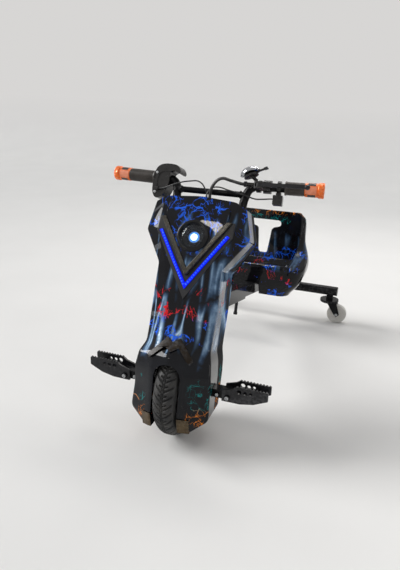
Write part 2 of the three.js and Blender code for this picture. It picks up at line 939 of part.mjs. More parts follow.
function barSide(sign, radius, count) {
  const end = new THREE.Vector3(sign * barEndStart, barEndSetback, barEndHeight);
  const bend = barShares.map(([across, back, up]) => new THREE.Vector3(
    sign * across * riserHalfWidth,
    back * barEndSetback,
    barClampHeight + up * barRise,
  ));
  const tube = solid(tubeAlong([...bend, end], radius, count, bendSteps));
  const foot = rodAlongX(0, bend[0].x, 0, barClampHeight, radius, count);
  const start = barRadius / 2 - radius;
  const straight = rodAlongX(sign * start, sign * barEndLength, 0, 0, radius, count);
  return join(foot, tube, moved(straight, barEndMatrix(sign)));
}

function handlebar() {
  const crossbarEnd = riserHalfWidth * 1.03;
  const crossbar = rodAlongX(-crossbarEnd, crossbarEnd, crossbarSetback, crossbarHeight, crossbarRadius);
  return join(barSide(1, barRadius, smallSides), barSide(-1, barRadius, smallSides), crossbar);
}

const barBore = (sign) => barSide(sign, barRadius + clearance, roundSides);

function barClamp() {
  const block = box(
    -clampHalfWidth,
    clampHalfWidth,
    -clampDepth / 2,
    clampDepth / 2,
    stemTop + clearance,
    barClampHeight + barRadius + fairingWall,
  );
  const reach = clampHalfWidth * 2;
  return cut(block, rodAlongX(-reach, reach, 0, barClampHeight, barRadius + clearance, roundSides));
}

// Parts on the straight bar ends, built along X and then placed
function onBarEnd(sign, body) {
  return moved(body, barEndMatrix(sign));
}

function sleeve(sign, from, to, outer) {
  const bore = rodAlongX(-sign * overrun, sign * capEnd * 2, 0, 0, barRadius + clearance, roundSides);
  return cut(rodAlongX(sign * from, sign * to, 0, 0, outer, roundSides), bore);
}

function gripCap(sign) {
  const cage = rodAlongX(sign * capStart, sign * capEnd, 0, 0, capRadius, roundSides);
  const flange = rodAlongX(sign * (capEnd - flangeLength), sign * capEnd, 0, 0, flangeRadius, roundSides);
  const boreEnd = barEndLength + clearance;
  const bore = rodAlongX(0, sign * boreEnd, 0, 0, barRadius + clearance, roundSides);
  const start = sign * (capStart + windowMargin);
  const end = sign * (capStart + windowMargin + windowLength);
  const [low, high] = [Math.min(start, end), Math.max(start, end)];
  const half = windowWidth / 2;
  const deep = capRadius - windowDepth;
  const pockets = [
    box(low, high, -half, half, deep, capRadius * 2),
    box(low, high, -half, half, -capRadius * 2, -deep),
    box(low, high, deep, capRadius * 2, -half, half),
    box(low, high, -capRadius * 2, -deep, -half, half),
  ];
  return onBarEnd(sign, cut(join(cage, flange), bore, ...pockets));
}

// Outline of the throttle housing from its outer top, as reach and height shares
const housingShares = [
  [0.95, 0.54], [0.46, 0.97], [-0.68, 1.0], [-1.03, 0.73], [-1.13, 0.41], [-0.95, 0.32],
  [-0.68, 0.54], [-0.3, 0.43], [-0.81, -0.28], [-0.62, -0.48], [-0.3, -0.76], [0.19, -0.97],
  [0.62, -1.0], [0.92, -0.76], [1.0, -0.35],
];

const nipplePlace = [housingReach * 0.4, -housingDepth / 2 - nippleRadius * 0.6, -housingDrop * 0.55];

function throttleHousing() {
  const points = housingShares.map(([reach, height]) => [
    -reach * housingReach,
    height * (height > 0 ? housingRise : housingDrop),
  ]);
  const body = frontPrism(points, -housingDepth / 2, housingDepth / 2);
  const [start, forward, height] = nipplePlace;
  const nipple = rodAlongX(-start, -start - nippleLength, forward, height, nippleRadius);
  return cut(onBarEnd(-1, join(body, nipple)), barBore(-1));
}

// Brake lever
function leverOutline() {
  // along from the pivot, forward from the bar
  const edgeShares = [
    [-0.04, 1.14], [0.2, 1.28], [0.55, 1.4], [0.98, 1.44],
    [0.98, 1.24], [0.55, 1.18], [0.2, 1.0], [0.06, 0.84],
  ];
  return edgeShares.map(([along, forward]) => [leverPivot + along * leverLength, -forward * leverReach]);
}

function brakeLever() {
  const low = -leverDrop - leverThickness / 2;
  const high = -leverDrop + leverThickness / 2;
  const blade = topPrism(leverOutline(), low, high);
  const hub = rodAlongZ(leverPivot, -leverReach, low, high, leverHubRadius, roundSides);
  const tip = new THREE.SphereGeometry(leverBallRadius, smallSides, smallSides / 2);
  tip.translate(leverPivot + leverLength, -leverReach * 1.34, -leverDrop);
  const bore = rodAlongZ(leverPivot, -leverReach, -overrun, overrun, leverPinRadius + clearance);
  return onBarEnd(1, cut(join(blade, hub, solid(tip)), bore));
}

const barrelStart = leverPivot - leverHubRadius - earThickness / 2;
const barrelEnd = barrelStart - barrelLength;

function brakeBracket() {
  const earGap = leverThickness / 2 + clearance;
  const top = -leverDrop + earGap + earThickness;
  const bottom = -leverDrop - earGap - earThickness;
  const ringEnd = bracketRingStart + bracketRingLength;
  const ears = topPrism([
    [ringEnd, -barRadius],
    [bracketRingStart, -barRadius],
    [leverPivot - leverHubRadius - earThickness, -leverReach + leverHubRadius / 2],
    [leverPivot - leverHubRadius - earThickness, -leverReach - leverHubRadius / 2],
    [leverPivot - leverHubRadius / 2, -leverReach - leverHubRadius],
    [leverPivot + leverHubRadius, -leverReach - leverHubRadius],
    [ringEnd, -leverReach + leverHubRadius],
  ], bottom, top);
  const room = leverHubRadius + 4 * clearance;
  const inner = -leverDrop - earGap;
  const outer = -leverDrop + earGap;
  const pocket = join(
    box(leverPivot, ringEnd * 2, -leverReach * 2, -leverReach + room, inner, outer),
    rodAlongZ(leverPivot, -leverReach, inner, outer, room, roundSides),
    box(leverPivot - room, leverPivot + room, -leverReach * 2, -leverReach, inner, outer),
  );
  const pin = rodAlongZ(leverPivot, -leverReach, bottom - clearance, top + clearance, leverPinRadius);
  const barrel = rodAlongX(barrelStart, barrelEnd, -leverReach, -leverDrop, barrelRadius);
  const ring = sleeve(1, bracketRingStart, ringEnd, controlRingRadius);
  const bore = rodAlongX(-overrun, capEnd, 0, 0, barRadius + clearance, roundSides);
  return onBarEnd(1, cut(join(cut(join(ears, barrel), pocket), pin, ring), bore));
}

// Switch block
const switchMiddle = [switchStart, (barRadius - switchDepth) / 2, -switchTop - switchHeight / 2];

function switchBlock() {
  const end = switchStart + switchWidth;
  const back = barRadius / 2;
  const low = -switchTop - switchHeight;
  const body = box(switchStart, end, back - switchDepth, back, low, -switchTop);
  const middle = switchStart + switchWidth / 2;
  const ring = sleeve(1, middle - switchRingLength / 2, middle + switchRingLength / 2, controlRingRadius);
  const well = rodAlongY(
    middle,
    back - buttonTravel * 3 - clearance,
    back + overrun,
    low + switchHeight / 2,
    buttonRadius + clearance,
  );
  return onBarEnd(1, cut(join(body, ring), well));
}

function switchButton() {
  const back = barRadius / 2;
  const inner = back - buttonTravel * 2;
  const height = -switchTop - switchHeight / 2;
  const middle = switchStart + switchWidth / 2;
  return onBarEnd(1, rodAlongY(middle, inner, back + buttonStand, height, buttonRadius));
}

// Bell, built about Z and then placed
function onBell(body) {
  const matrix = new THREE.Matrix4()
    .makeRotationY(-bellTilt)
    .setPosition(bellPlace, -bellForward, bellHeight);
  return moved(body, matrix);
}

const bellLeverLow = clearance * 3;
const bellRim = bellLeverLow * 2 + bellLeverThickness;

function bellBase() {
  const disc = rodAlongZ(0, 0, -bellBaseThickness, 0, bellBaseRadius, roundSides);
  const postTop = bellRim + bellRise - bellWall - clearance;
  const post = rodAlongZ(0, 0, -bellBaseThickness / 2, postTop, bellPostRadius);
  const ring = onBarEnd(1, sleeve(1, bellRingStart, bellRingStart + bellRingLength, bellRingRadius));
  const arm = rod(
    [barEndStart, barEndSetback - barRadius, barEndHeight + barRadius * 0.8],
    [bellPlace + bellBaseThickness * 0.4, -bellForward, bellHeight - bellBaseThickness * 0.6],
    bellArmRadius,
  );
  return cut(join(onBell(join(disc, post)), ring, arm), barBore(1));
}

function bellDome() {
  const arcShares = [0, 0.25, 0.5, 0.72, 0.9];
  const outer = arcShares.map((share) => [
    bellRadius * Math.cos(share * Math.PI / 2),
    bellRim + bellRise * Math.sin(share * Math.PI / 2),
  ]);
  const innerRadius = bellRadius - bellWall;
  const innerRise = bellRise - bellWall;
  const inner = arcShares.map((share) => [
    innerRadius * Math.cos(share * Math.PI / 2),
    bellRim + innerRise * Math.sin(share * Math.PI / 2),
  ]).reverse();
  const profile = [...outer, [0, bellRim + bellRise], [0, bellRim + innerRise], ...inner];
  return onBell(solid(turned(profile, roundSides).rotateX(Math.PI / 2)));
}

function bellThumb() {
  const high = bellLeverLow + bellLeverThickness;
  const half = bellLeverWidth / 2;
  const hub = rodAlongZ(0, 0, bellLeverLow, high, bellLeverWidth, roundSides);
  const arm = box(0, bellLeverLength, -half, half, bellLeverLow, high);
  const padStart = bellLeverLength - bellLeverWidth;
  const pad = box(padStart, bellLeverLength, -bellLeverWidth, bellLeverWidth, bellLeverLow, high);
  const bore = rodAlongZ(0, 0, -overrun, overrun, bellPostRadius + clearance);
  return onBell(cut(join(hub, arm, pad), bore));
}

// Cable routes in steering coordinates: across, forward and up from the bar clamp
const brakeCableShares = [
  [0.640, 0.965, 0.975], [0.500, 0.980, 1.010], [0.272, 1.000, 1.044], [0.110, 0.790, 0.873],
  [0.052, 0.540, 0.636], [0.048, 0.345, 0.455], [0.048, 0.345, 0.190],
];
const throttleCableShares = [
  [-1.000, 0.400, 0.700], [-0.752, 0.560, 0.824], [-0.416, 0.658, 0.928], [-0.200, 0.658, 0.928],
  [-0.072, 0.420, 0.747], [-0.032, 0.160, 0.545], [-0.032, 0.145, 0.190],
];
const switchCableShares = [
  [1.150, 0.120, 0.660], [0.992, 0.290, 0.640], [0.824, 0.345, 0.690], [0.416, 0.437, 0.795],
  [0.176, 0.437, 0.848], [0.048, 0.419, 0.798], [-0.024, 0.455, 0.636], [-0.024, 0.510, 0.455],
  [-0.024, 0.510, 0.190],
];

// A cable from a control on the bar end, leaving it towards the middle, and on along its route.
function cable(sign, [x, y, z], routeShares, radius) {
  const leave = [0, 2 * radius].map((out) => new THREE.Vector3(sign * (x - clearance - out), y, z)
    .applyMatrix4(barEndMatrix(sign)));
  const route = routeShares.map(([across, forward, up]) => new THREE.Vector3(
    across * barEndStart,
    -forward * cableReach,
    barClampHeight + up * barRise,
  ));
  return tubeAlong([...leave, ...route], radius, cableSides, cableSteps);
}

// Foot pegs in upright coordinates
function pegOutline(sign) {
  const top = pegHeight + pegRise;
  const low = pegHeight - pegDrop;
  const rampEnd = pegRoot + pegRise;
  const pitch = (pegEnd - rampEnd) / pegToothCount;
  const teeth = Array.from({ length: pegToothCount }, (_, i) => [
    [rampEnd + pitch * i, top - pegToothDepth],
    [rampEnd + pitch * (i + 0.35), top],
    [rampEnd + pitch * (i + 0.7), top],
  ]).flat();
  const points = [
    [pegRoot, top - pegRise / 2],
    [pegRoot + pegRise * 0.75, top - pegToothDepth * 3],
    ...teeth,
    [pegEnd, top - pegToothDepth],
    [pegEnd, top - pegRise * 0.68],
    [pegEnd - pegRise, low + pegDrop * 0.6],
    [pegEnd - pegRise * 2, low + clearance],
    [pegRoot, low],
  ];
  return points.map(([x, z]) => [sign * x, z]);
}

function footPeg(sign) {
  const points = pegOutline(sign);
  const front = -pegFront;
  const back = pegWidth - pegFront;
  const plates = [frontPrism(points, front, front + pegPlate), frontPrism(points, back - pegPlate, back)];
  const webEnds = [sign * pegWebStart, sign * pegEnd];
  const web = common(
    frontPrism(points, front + pegPlate / 2, back - pegPlate / 2),
    box(Math.min(...webEnds), Math.max(...webEnds), front, back, 0, pegHeight + pegDrop / 2),
  );
  // place from the root, height from the pivot, radius
  const holeShares = [[0.38, 0.62, 1], [0.51, 0.6, 0.85], [0.63, 0.62, 0.7]];
  const holes = holeShares.map(([along, up, size]) => rodAlongY(
    sign * (pegRoot + along * (pegEnd - pegRoot)),
    front - overrun,
    back + overrun,
    pegHeight + up * pegRise,
    size * pegHoleRadius,
  ));
  const bore = rodAlongY(sign * pegPivot, front - overrun, back + overrun, pegHeight, pegPinRadius + clearance);
  return moved(cut(join(...plates, web), ...holes, bore), vehicleToSteering);
}

function pegMount(sign) {
  const front = pegPlate + clearance - pegFront;
  const back = pegWidth - pegFront - pegPlate - clearance;
  const low = pegHeight - pegTongueDrop;
  const high = pegHeight + pegTongueRise;
  const baseIn = forkGap + bladeThickness + clearance;
  const baseOut = baseIn + pegBaseThickness;
  const span = (from, to) => [Math.min(sign * from, sign * to), Math.max(sign * from, sign * to)];
  const tongue = box(...span(baseIn, pegTongueEnd), front, back, low, high);
  const base = box(...span(baseIn, baseOut), front, pegBaseBack, low, pegHeight + pegBaseRise);
  const pinFront = -pegFront - clearance;
  const pinBack = pegWidth - pegFront + clearance;
  const place = sign * pegPivot;
  const pin = join(
    rodAlongY(place, pinFront - pegPinHead, pinBack + pegPinHead, pegHeight, pegPinRadius),
    rodAlongY(place, pinFront - pegPinHead, pinFront, pegHeight, pegPinHeadRadius),
    rodAlongY(place, pinBack, pinBack + pegPinHead, pegHeight, pegPinHeadRadius),
  );
  const rootSweep = Math.hypot(pegPivot - pegRoot, pegRise / 2);
  const boltPlace = pegPivot - rootSweep - pegBoltRadius - 2 * clearance;
  const bolt = rodAlongY(sign * boltPlace, front - pegPinHead, back, pegHeight, pegBoltRadius, 6);
  return moved(join(tongue, base, pin, bolt), vehicleToSteering);
}

// Front frame, in beam coordinates
function frontFrame() {
  const half = outerTubeSide / 2;
  const headTube = moved(
    rodAlongZ(0, 0, headTubeLow, headTubeHigh, headTubeRadius, roundSides),
    steeringToBeam,
  );
  const headBore = moved(
    rodAlongZ(0, 0, 0, stemTop, headTubeRadius - headTubeWall, roundSides),
    steeringToBeam,
  );
  const neck = box(
    -neckThickness / 2,
    neckThickness / 2,
    headTubeWall,
    neckLength + outerTubeWall / 2,
    -neckHeight / 2,
    neckHeight / 2,
  );
  const tube = box(-half, half, neckLength, outerTubeEnd, -half, half);
  const room = half - outerTubeWall;
  const hollow = box(-room, room, neckLength + outerTubeWall, outerTubeEnd + overrun, -room, room);
  const boss = rodAlongZ(0, lockPlace, -half - lockBossHeight, -room - outerTubeWall / 2, lockBossRadius);
  const thread = rodAlongZ(0, lockPlace, -half * 3, 0, lockStemRadius + clearance);
  return cut(join(headTube, neck, cut(tube, hollow), boss), headBore, thread);
}

function lockKnob() {
  const top = -innerTubeSide / 2 - clearance;
  const handleTop = -outerTubeSide / 2 - lockBossHeight - clearance;
  const handleEnd = handleTop - lockLength;
  return join(
    rodAlongZ(0, lockPlace, handleEnd, top, lockStemRadius),
    rodAlongZ(0, lockPlace, handleEnd, handleTop, lockRadius),
    rodAlongZ(0, lockPlace, handleEnd, handleEnd + lockEndLength, lockEndRadius),
  );
}

// Rear frame, in upright coordinates
function beamTopAt(y) {
  const centre = headZ - (y - headY) * Math.tan(beamAngle);
  return centre + innerTubeSide / 2 / Math.cos(beamAngle);
}

const seatPlateTop = seatPlateBottom + seatPlateThickness;
const seatPostTop = seatPanBottom - clearance;

function acrossRearBar(halfLength, radius) {
  return rodAlongX(-halfLength, halfLength, wheelbase, rearBarHeight, radius, roundSides);
}

function rearFrame() {
  const half = innerTubeSide / 2;
  const room = half - innerTubeWall;
  const hollowEnd = beamLength - barSleeveHalfLength;
  const tube = cut(
    box(-half, half, innerTubeStart, beamLength, -half, half),
    box(-room, room, innerTubeStart - overrun, hollowEnd, -room, room),
  );
  const barBoreRadius = rearBarRadius + clearance;
  const barSleeve = acrossRearBar(barSleeveHalfLength, barBoreRadius + barSleeveWall);
  const barHole = acrossRearBar(barSleeveHalfLength * 2, barBoreRadius);
  const plate = box(
    -seatPlateHalfWidth,
    seatPlateHalfWidth,
    seatPlateFront,
    seatPlateBack,
    seatPlateBottom,
    seatPlateTop,
  );
  const riser = box(
    -seatRiserHalfWidth,
    seatRiserHalfWidth,
    seatPlateBack - seatRiserDepth,
    seatPlateBack,
    beamTopAt(seatPlateBack) - innerTubeWall / 2,
    seatPlateTop,
  );
  const postHalf = seatPostSide / 2;
  const postPlaces = [seatPlateFront + postHalf, seatPlateBack - postHalf];
  const posts = sides.flatMap(({ sign }) => postPlaces.map((y) => box(
    sign * seatPostPlace - postHalf,
    sign * seatPostPlace + postHalf,
    y - postHalf,
    y + postHalf,
    seatPlateBottom,
    seatPostTop,
  )));
  return cut(join(moved(tube, beamToVehicle), barSleeve, plate, riser, ...posts), barHole);
}

function rearBar() {
  const tube = cut(
    acrossRearBar(rearBarHalfLength, rearBarRadius),
    acrossRearBar(rearBarHalfLength * 2, rearBarRadius - rearBarWall),
  );
  const bosses = sides.map(({ sign }) => rodAlongZ(
    sign * casterPlace,
    wheelbase,
    casterBossBottom,
    rearBarHeight - rearBarRadius + rearBarWall,
    casterBossRadius,
    roundSides,
  ));
  const bores = sides.map(({ sign }) => rodAlongZ(
    sign * casterPlace,
    wheelbase,
    0,
    rearBarHeight,
    casterBoltRadius + clearance,
    roundSides,
  ));
  return cut(join(tube, ...bosses), ...bores);
}

function barCap(sign) {
  const start = rearBarHalfLength + clearance;
  const along = (from, to, radius) => rodAlongX(
    sign * from,
    sign * to,
    wheelbase,
    rearBarHeight,
    radius,
    roundSides,
  );
  return join(
    along(start, start + barCapThickness, rearBarRadius),
    along(start - barCapPlug, start + barCapThickness / 2, rearBarRadius - rearBarWall - clearance),
  );
}

// Casters
const casterPlateTop = casterBossBottom - clearance;
const casterPlateBottom = casterPlateTop - casterPlateThickness;

function casterStem(sign) {
  const x = sign * casterPlace;
  const nutTop = casterPlateBottom - clearance;
  return join(
    rodAlongZ(x, wheelbase, nutTop - casterNutHeight, casterBoltTop, casterBoltRadius),
    rodAlongZ(x, wheelbase, nutTop - casterNutHeight, nutTop, casterNutRadius, 6),
  );
}

function casterFork(sign) {
  const x = sign * casterPlace;
  const axleX = sign * (casterPlace + casterTrail);
  const plate = rodAlongZ(x, wheelbase, casterPlateBottom, casterPlateTop, casterPlateRadius, roundSides);
  const legOut = casterLegGap + casterLegThickness;
  const legTop = casterPlateBottom + casterPlateThickness / 2;
  const legPoints = [
    [casterPlace - casterLegRadius, legTop],
    [casterPlace + casterPlateRadius * 0.8, legTop],
    [casterPlace + casterTrail + casterLegRadius, casterWheelRadius],
    [casterPlace + casterTrail, casterWheelRadius - casterLegRadius],
    [casterPlace + casterTrail - casterLegRadius, casterWheelRadius],
  ].map(([place, z]) => [sign * place, z]);
  const legs = [
    frontPrism(legPoints, wheelbase - legOut, wheelbase - casterLegGap),
    frontPrism(legPoints, wheelbase + casterLegGap, wheelbase + legOut),
  ];
  const axle = rodAlongY(axleX, wheelbase - legOut, wheelbase + legOut, casterWheelRadius, casterAxleRadius);
  const bore = rodAlongZ(x, wheelbase, 0, casterBoltTop, casterBoltRadius + clearance, roundSides);
  return cut(join(plate, ...legs, axle), bore);
}

function casterWheel(sign) {
  const bore = casterAxleRadius + clearance;
  const shoulder = casterWheelRadius * 0.93;
  const flat = casterWheelHalfWidth * 0.7;
  const geometry = turned([
    [bore, -casterWheelHalfWidth],
    [shoulder, -casterWheelHalfWidth],
    [casterWheelRadius, -flat],
    [casterWheelRadius, flat],
    [shoulder, casterWheelHalfWidth],
    [bore, casterWheelHalfWidth],
  ], wheelSides);
  return solid(geometry.translate(sign * (casterPlace + casterTrail), wheelbase, casterWheelRadius));
}

// Seat rings: height, half width, front and back, as shares
const seatOuterShares = [
  [0.000, 0.711, 0.150, 0.743],
  [0.177, 0.909, 0.053, 0.813],
  [0.353, 0.995, 0.005, 0.845],
  [0.428, 1.000, 0.000, 0.856],
  [0.495, 0.968, 0.316, 0.877],
  [0.671, 0.866, 0.610, 0.920],
  [0.883, 0.840, 0.727, 0.973],
  [0.972, 0.802, 0.797, 0.995],
  [1.000, 0.722, 0.866, 1.000],
];
const seatBowlShares = [
  [0.318, 0.668, 0.155, 0.727],
  [0.371, 0.898, 0.075, 0.791],
  [0.431, 0.968, 0.032, 0.818],
  [0.495, 0.936, -0.190, 0.829],
  [0.671, 0.834, -0.410, 0.882],
  [0.883, 0.807, -0.410, 0.936],
  [1.035, 0.720, -0.410, 0.968],
];
const seatUnderShares = [
  [-0.018, 0.679, 0.182, 0.711],
  [0.177, 0.877, 0.086, 0.781],
  [0.297, 0.936, 0.053, 0.802],
];

function seatRing([height, width, front, back]) {
  const halfWidth = width * seatHalfWidth;
  const low = seatFront + front * seatDepth;
  const high = seatFront + back * seatDepth;
  const z = seatBottom + height * seatHeight;
  const corner = Math.min(halfWidth * 0.3, (high - low) * 0.45);
  const corners = [
    [halfWidth - corner, low + corner, -90],
    [halfWidth - corner, high - corner, 0],
    [corner - halfWidth, high - corner, 90],
    [corner - halfWidth, low + corner, 180],
  ];
  return corners.flatMap(([x, y, start]) => [0, 30, 60, 90].map((turn) => {
    const angle = THREE.MathUtils.degToRad(start + turn);
    return new THREE.Vector3(x + corner * Math.cos(angle), y + corner * Math.sin(angle), z);
  }));
}

function seatShell() {
  const outer = loft(seatOuterShares.map(seatRing));
  const bowl = loft(seatBowlShares.map(seatRing));
  const under = loft(seatUnderShares.map(seatRing));
  const back = seatFront + seatDepth;
  const slotBottom = slotTop - slotHeight;
  const slotFront = back - notchDepth * 1.5;
  const slot = join(
    box(-slotHalfWidth, slotHalfWidth, slotFront, back + overrun, slotBottom, slotTop),
    box(-slotStemHalfWidth, slotStemHalfWidth, slotFront, back + overrun, slotStemBottom, slotTop),
  );
  const frontNotch = box(-notchHalfWidth, notchHalfWidth, 0, seatFront + notchDepth, 0, frontNotchTop);
  const rearNotch = box(-notchHalfWidth, notchHalfWidth, back - 1.5 * notchDepth, back, 0, rearNotchTop);
  const socketHole = rodAlongY(socketPlace, back - 2 * notchDepth, back, socketHeight, socketRadius + clearance);
  return cut(outer, bowl, under, slot, frontNotch, rearNotch, socketHole);
}

// Battery box
const trayBottom = seatPlateTop + clearance;
const trayTop = trayBottom + batteryHeight;
const trayFloor = trayBottom + batteryWall + clearance;

function batteryTray() {
  const room = batteryHalfWidth - batteryWall;
  return cut(
    box(-batteryHalfWidth, batteryHalfWidth, batteryFront, batteryBack, trayBottom, trayTop),
    box(
      -room,
      room,
      batteryFront + batteryWall,
      batteryBack - batteryWall,
      trayBottom + batteryWall,
      trayTop + overrun,
    ),
  );
}

function batteryLid() {
  const low = trayTop + clearance;
  return box(-batteryHalfWidth, batteryHalfWidth, batteryFront, batteryBack, low, low + lidThickness);
}

function inTray(start, length, height) {
  const margin = batteryWall + packMargin;
  return box(
    start,
    start + length,
    batteryFront + margin,
    batteryBack - margin,
    trayFloor,
    trayFloor + height,
  );
}

const trayRoom = batteryHalfWidth - batteryWall - clearance;
const batteryPack = () => inTray(-trayRoom, packLength, packHeight);
const controller = () => inTray(trayRoom - controllerLength, controllerLength, controllerHeight);

function chargeSocket() {
  return join(
    rodAlongY(socketPlace, socketBack - socketDepth, socketBack + clearance, socketHeight, socketRadius),
    rodAlongY(socketPlace, socketBack, socketBack + socketFlange, socketHeight, socketFlangeRadius, roundSides),
  );
}

// Wheel, motor and fork
addPart(steering, 'tyre', tyre(), 'tread');
addPart(steering, 'hub_motor', hubMotor(), 'castAlloy');
addPart(steering, 'motor_cover', motorCover(), 'castAlloy');
addPart(steering, 'motor_stator', motorStator(), 'copper');
addPart(steering, 'front_axle', frontAxle(), 'steel');
addPart(steering, 'fork', fork(), 'frameBlack');
addPart(steering, 'steering_stem', rodAlongZ(
  0,
  0,
  crownTop + clearance,
  stemTop,
  stemRadius,
  roundSides,
), 'steel');
addPart(steering, 'head_bearing_lower', bearing(crownTop + clearance), 'steel');
addPart(steering, 'head_bearing_upper', bearing(headTubeHigh + clearance), 'steel');
addPart(steering, 'stem_nut', stemNut(), 'steel');

// Fairing and its trims
addPart(steering, 'front_shell', frontShell(), 'glossBlack');
addPart(steering, 'rear_shell', rearShell(), 'glossBlack');
addPart(steering, 'shell_bracket', shellBracket(), 'frameBlack');
addPart(steering, 'v_trim', vTrim(), 'bronze');
addPart(steering, 'v_panel', vPanel(), 'mattBlack');
addPart(steering, 'led_strip', standing(
  vBand(ledApex, ledBand, ledHalfWidth, ledTop),
  ledStand,
  panelStand + clearance,
), 'ledBlue');
addPart(steering, 'headlamp_bezel', headlampBezel(), 'mattBlack');
addPart(steering, 'headlamp_lens', headlampLens(), 'lens');
addPart(steering, 'brow_trim', browTrim(), 'glossBlack');

// Handlebar and controls
addPart(steering, 'handlebar', handlebar(), 'frameBlack');
addPart(steering, 'bar_clamp', barClamp(), 'steel');
addPart(steering, 'grip_left', onBarEnd(1, sleeve(1, gripStart, capStart - clearance, gripRadius)), 'rubber');
addPart(
  steering,
  'throttle_grip',
  onBarEnd(-1, sleeve(-1, throttleStart, capStart - clearance, gripRadius)),
  'rubber',
);
addPart(steering, 'throttle_housing', throttleHousing(), 'mattBlack');
addPart(steering, 'brake_bracket', brakeBracket(), 'mattBlack');
addPart(steering, 'brake_lever', brakeLever(), 'mattBlack');
addPart(steering, 'switch_block', switchBlock(), 'mattBlack');
addPart(steering, 'switch_button', switchButton(), 'orange');
addPart(steering, 'bell_base', bellBase(), 'mattBlack');
addPart(steering, 'bell_dome', bellDome(), 'chrome');
addPart(steering, 'bell_thumb', bellThumb(), 'mattBlack');
addPart(
  steering,
  'brake_cable',
  cable(1, [barrelEnd, -leverReach, -leverDrop], brakeCableShares, sleeveRadius),
  'rubber',
);
addPart(steering, 'throttle_cable', cable(-1, nipplePlace, throttleCableShares, wireRadius), 'rubber');
addPart(steering, 'switch_cable', cable(1, switchMiddle, switchCableShares, wireRadius), 'rubber');

// Telescopic frame and seat
addPart(beam, 'front_frame', frontFrame(), 'frameBlack');
addPart(beam, 'lock_knob', lockKnob(), 'mattBlack');
addPart(vehicle, 'rear_frame', rearFrame(), 'frameBlack');
addPart(vehicle, 'rear_bar', rearBar(), 'frameBlack');
addPart(vehicle, 'seat_shell', seatShell(), 'glossBlack');
addPart(vehicle, 'battery_tray', batteryTray(), 'greyPlastic');
addPart(vehicle, 'battery_lid', batteryLid(), 'greyPlastic');
addPart(vehicle, 'battery_pack', batteryPack(), 'bluePack');
addPart(vehicle, 'controller', controller(), 'castAlloy');
addPart(vehicle, 'charge_socket', chargeSocket(), 'mattBlack');

// Pieces on both sides
for (const { label, sign } of sides) {
  addPart(steering, `foot_trim_${label}`, footTrim(sign), 'bronze');
  addPart(steering, `grip_cap_${label}`, gripCap(sign), 'orange');
  addPart(steering, `peg_mount_${label}`, pegMount(sign), 'frameBlack');
  addPart(steering, `peg_${label}`, footPeg(sign), 'mattBlack');
  addPart(vehicle, `bar_cap_${label}`, barCap(sign), 'mattBlack');
  addPart(vehicle, `caster_stem_${label}`, casterStem(sign), 'steel');
  addPart(vehicle, `caster_fork_${label}`, casterFork(sign), 'frameBlack');
  addPart(vehicle, `caster_wheel_${label}`, casterWheel(sign), 'paleWheel');
}

export default tricycle;
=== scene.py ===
"""Looks of an electric drift tricycle.

Lengths inside the classes are millimetres in the frame of the sub-assembly that is
being made. Each finished piece is then placed in the vehicle's frame, in metres:
X to the rider's left, Y backwards, Z up.
"""

import logging
import math
from collections.abc import Callable, Iterator, Sequence
from contextlib import contextmanager
from dataclasses import dataclass, field
from enum import Enum

import bmesh
import bpy
from mathutils import Matrix, Vector
from mathutils.bvhtree import BVHTree


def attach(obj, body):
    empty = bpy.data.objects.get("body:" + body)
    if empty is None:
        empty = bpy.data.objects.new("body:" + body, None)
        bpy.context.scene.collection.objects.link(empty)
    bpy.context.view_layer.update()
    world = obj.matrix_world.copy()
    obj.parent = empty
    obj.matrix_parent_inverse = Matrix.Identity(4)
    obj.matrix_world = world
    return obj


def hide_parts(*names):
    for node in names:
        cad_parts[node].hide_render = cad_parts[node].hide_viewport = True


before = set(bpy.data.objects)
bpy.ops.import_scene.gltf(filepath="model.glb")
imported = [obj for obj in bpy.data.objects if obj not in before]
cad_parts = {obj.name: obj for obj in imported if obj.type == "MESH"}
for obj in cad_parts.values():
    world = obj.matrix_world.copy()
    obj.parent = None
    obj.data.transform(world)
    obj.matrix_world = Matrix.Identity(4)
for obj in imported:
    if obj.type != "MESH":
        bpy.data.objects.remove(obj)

log = logging.getLogger("drift_tricycle")

Piece = bpy.types.Object
Node = bpy.types.Node
Socket = bpy.types.NodeSocket
Sockets = bpy.types.bpy_prop_collection
Material = bpy.types.Material
Pair = tuple[float, float]
Triple = tuple[float, float, float]
Point = Sequence[float]
Inputs = dict[str | int, object]

MM = 0.001
SIDES = (("left", 1), ("right", -1))
AXLE_Y = -412
WHEEL_RADIUS = 127
RAKE = 20
BAR_END = (125, 12, 539)
BAR_SWEEP = 4.5
BAR_DROP = 2


# Places of the sub-assemblies

def turn(degrees: float, axis: str) -> Matrix:
    """A turn about one axis, in degrees."""
    return Matrix.Rotation(math.radians(degrees), 4, axis)


def shift(x: float, y: float, z: float) -> Matrix:
    """A move in millimetres."""
    return Matrix.Translation((x, y, z))


UPRIGHT = shift(0, AXLE_Y, 0)
STEERING = shift(0, AXLE_Y, WHEEL_RADIUS) @ turn(-RAKE, "X")
AXIS_TO_X = turn(90, "Y")
AXIS_TO_FRONT = turn(90, "X")


def bar_end(sign: int) -> Matrix:
    """The frame of one straight bar end, with X along the bar: 1 is the rider's left, -1 the right."""
    x, y, z = BAR_END
    return STEERING @ shift(sign * x, y, z) @ turn(sign * BAR_SWEEP, "Z") @ turn(-sign * BAR_DROP, "Y")


BELL = STEERING @ shift(105, -8, 563) @ turn(-25, "Y")


class Body(Enum):
    """The moving bodies that pieces ride on."""

    FRAME = "frame"
    FRONT_FRAME = "front_frame"
    KNOB = "lock_knob"
    STEERING = "steering"
    WHEEL = "front_wheel"
    THROTTLE = "throttle_grip"
    BRAKE = "brake_lever"
    BELL = "bell_thumb"
    SWITCH = "switch_button"


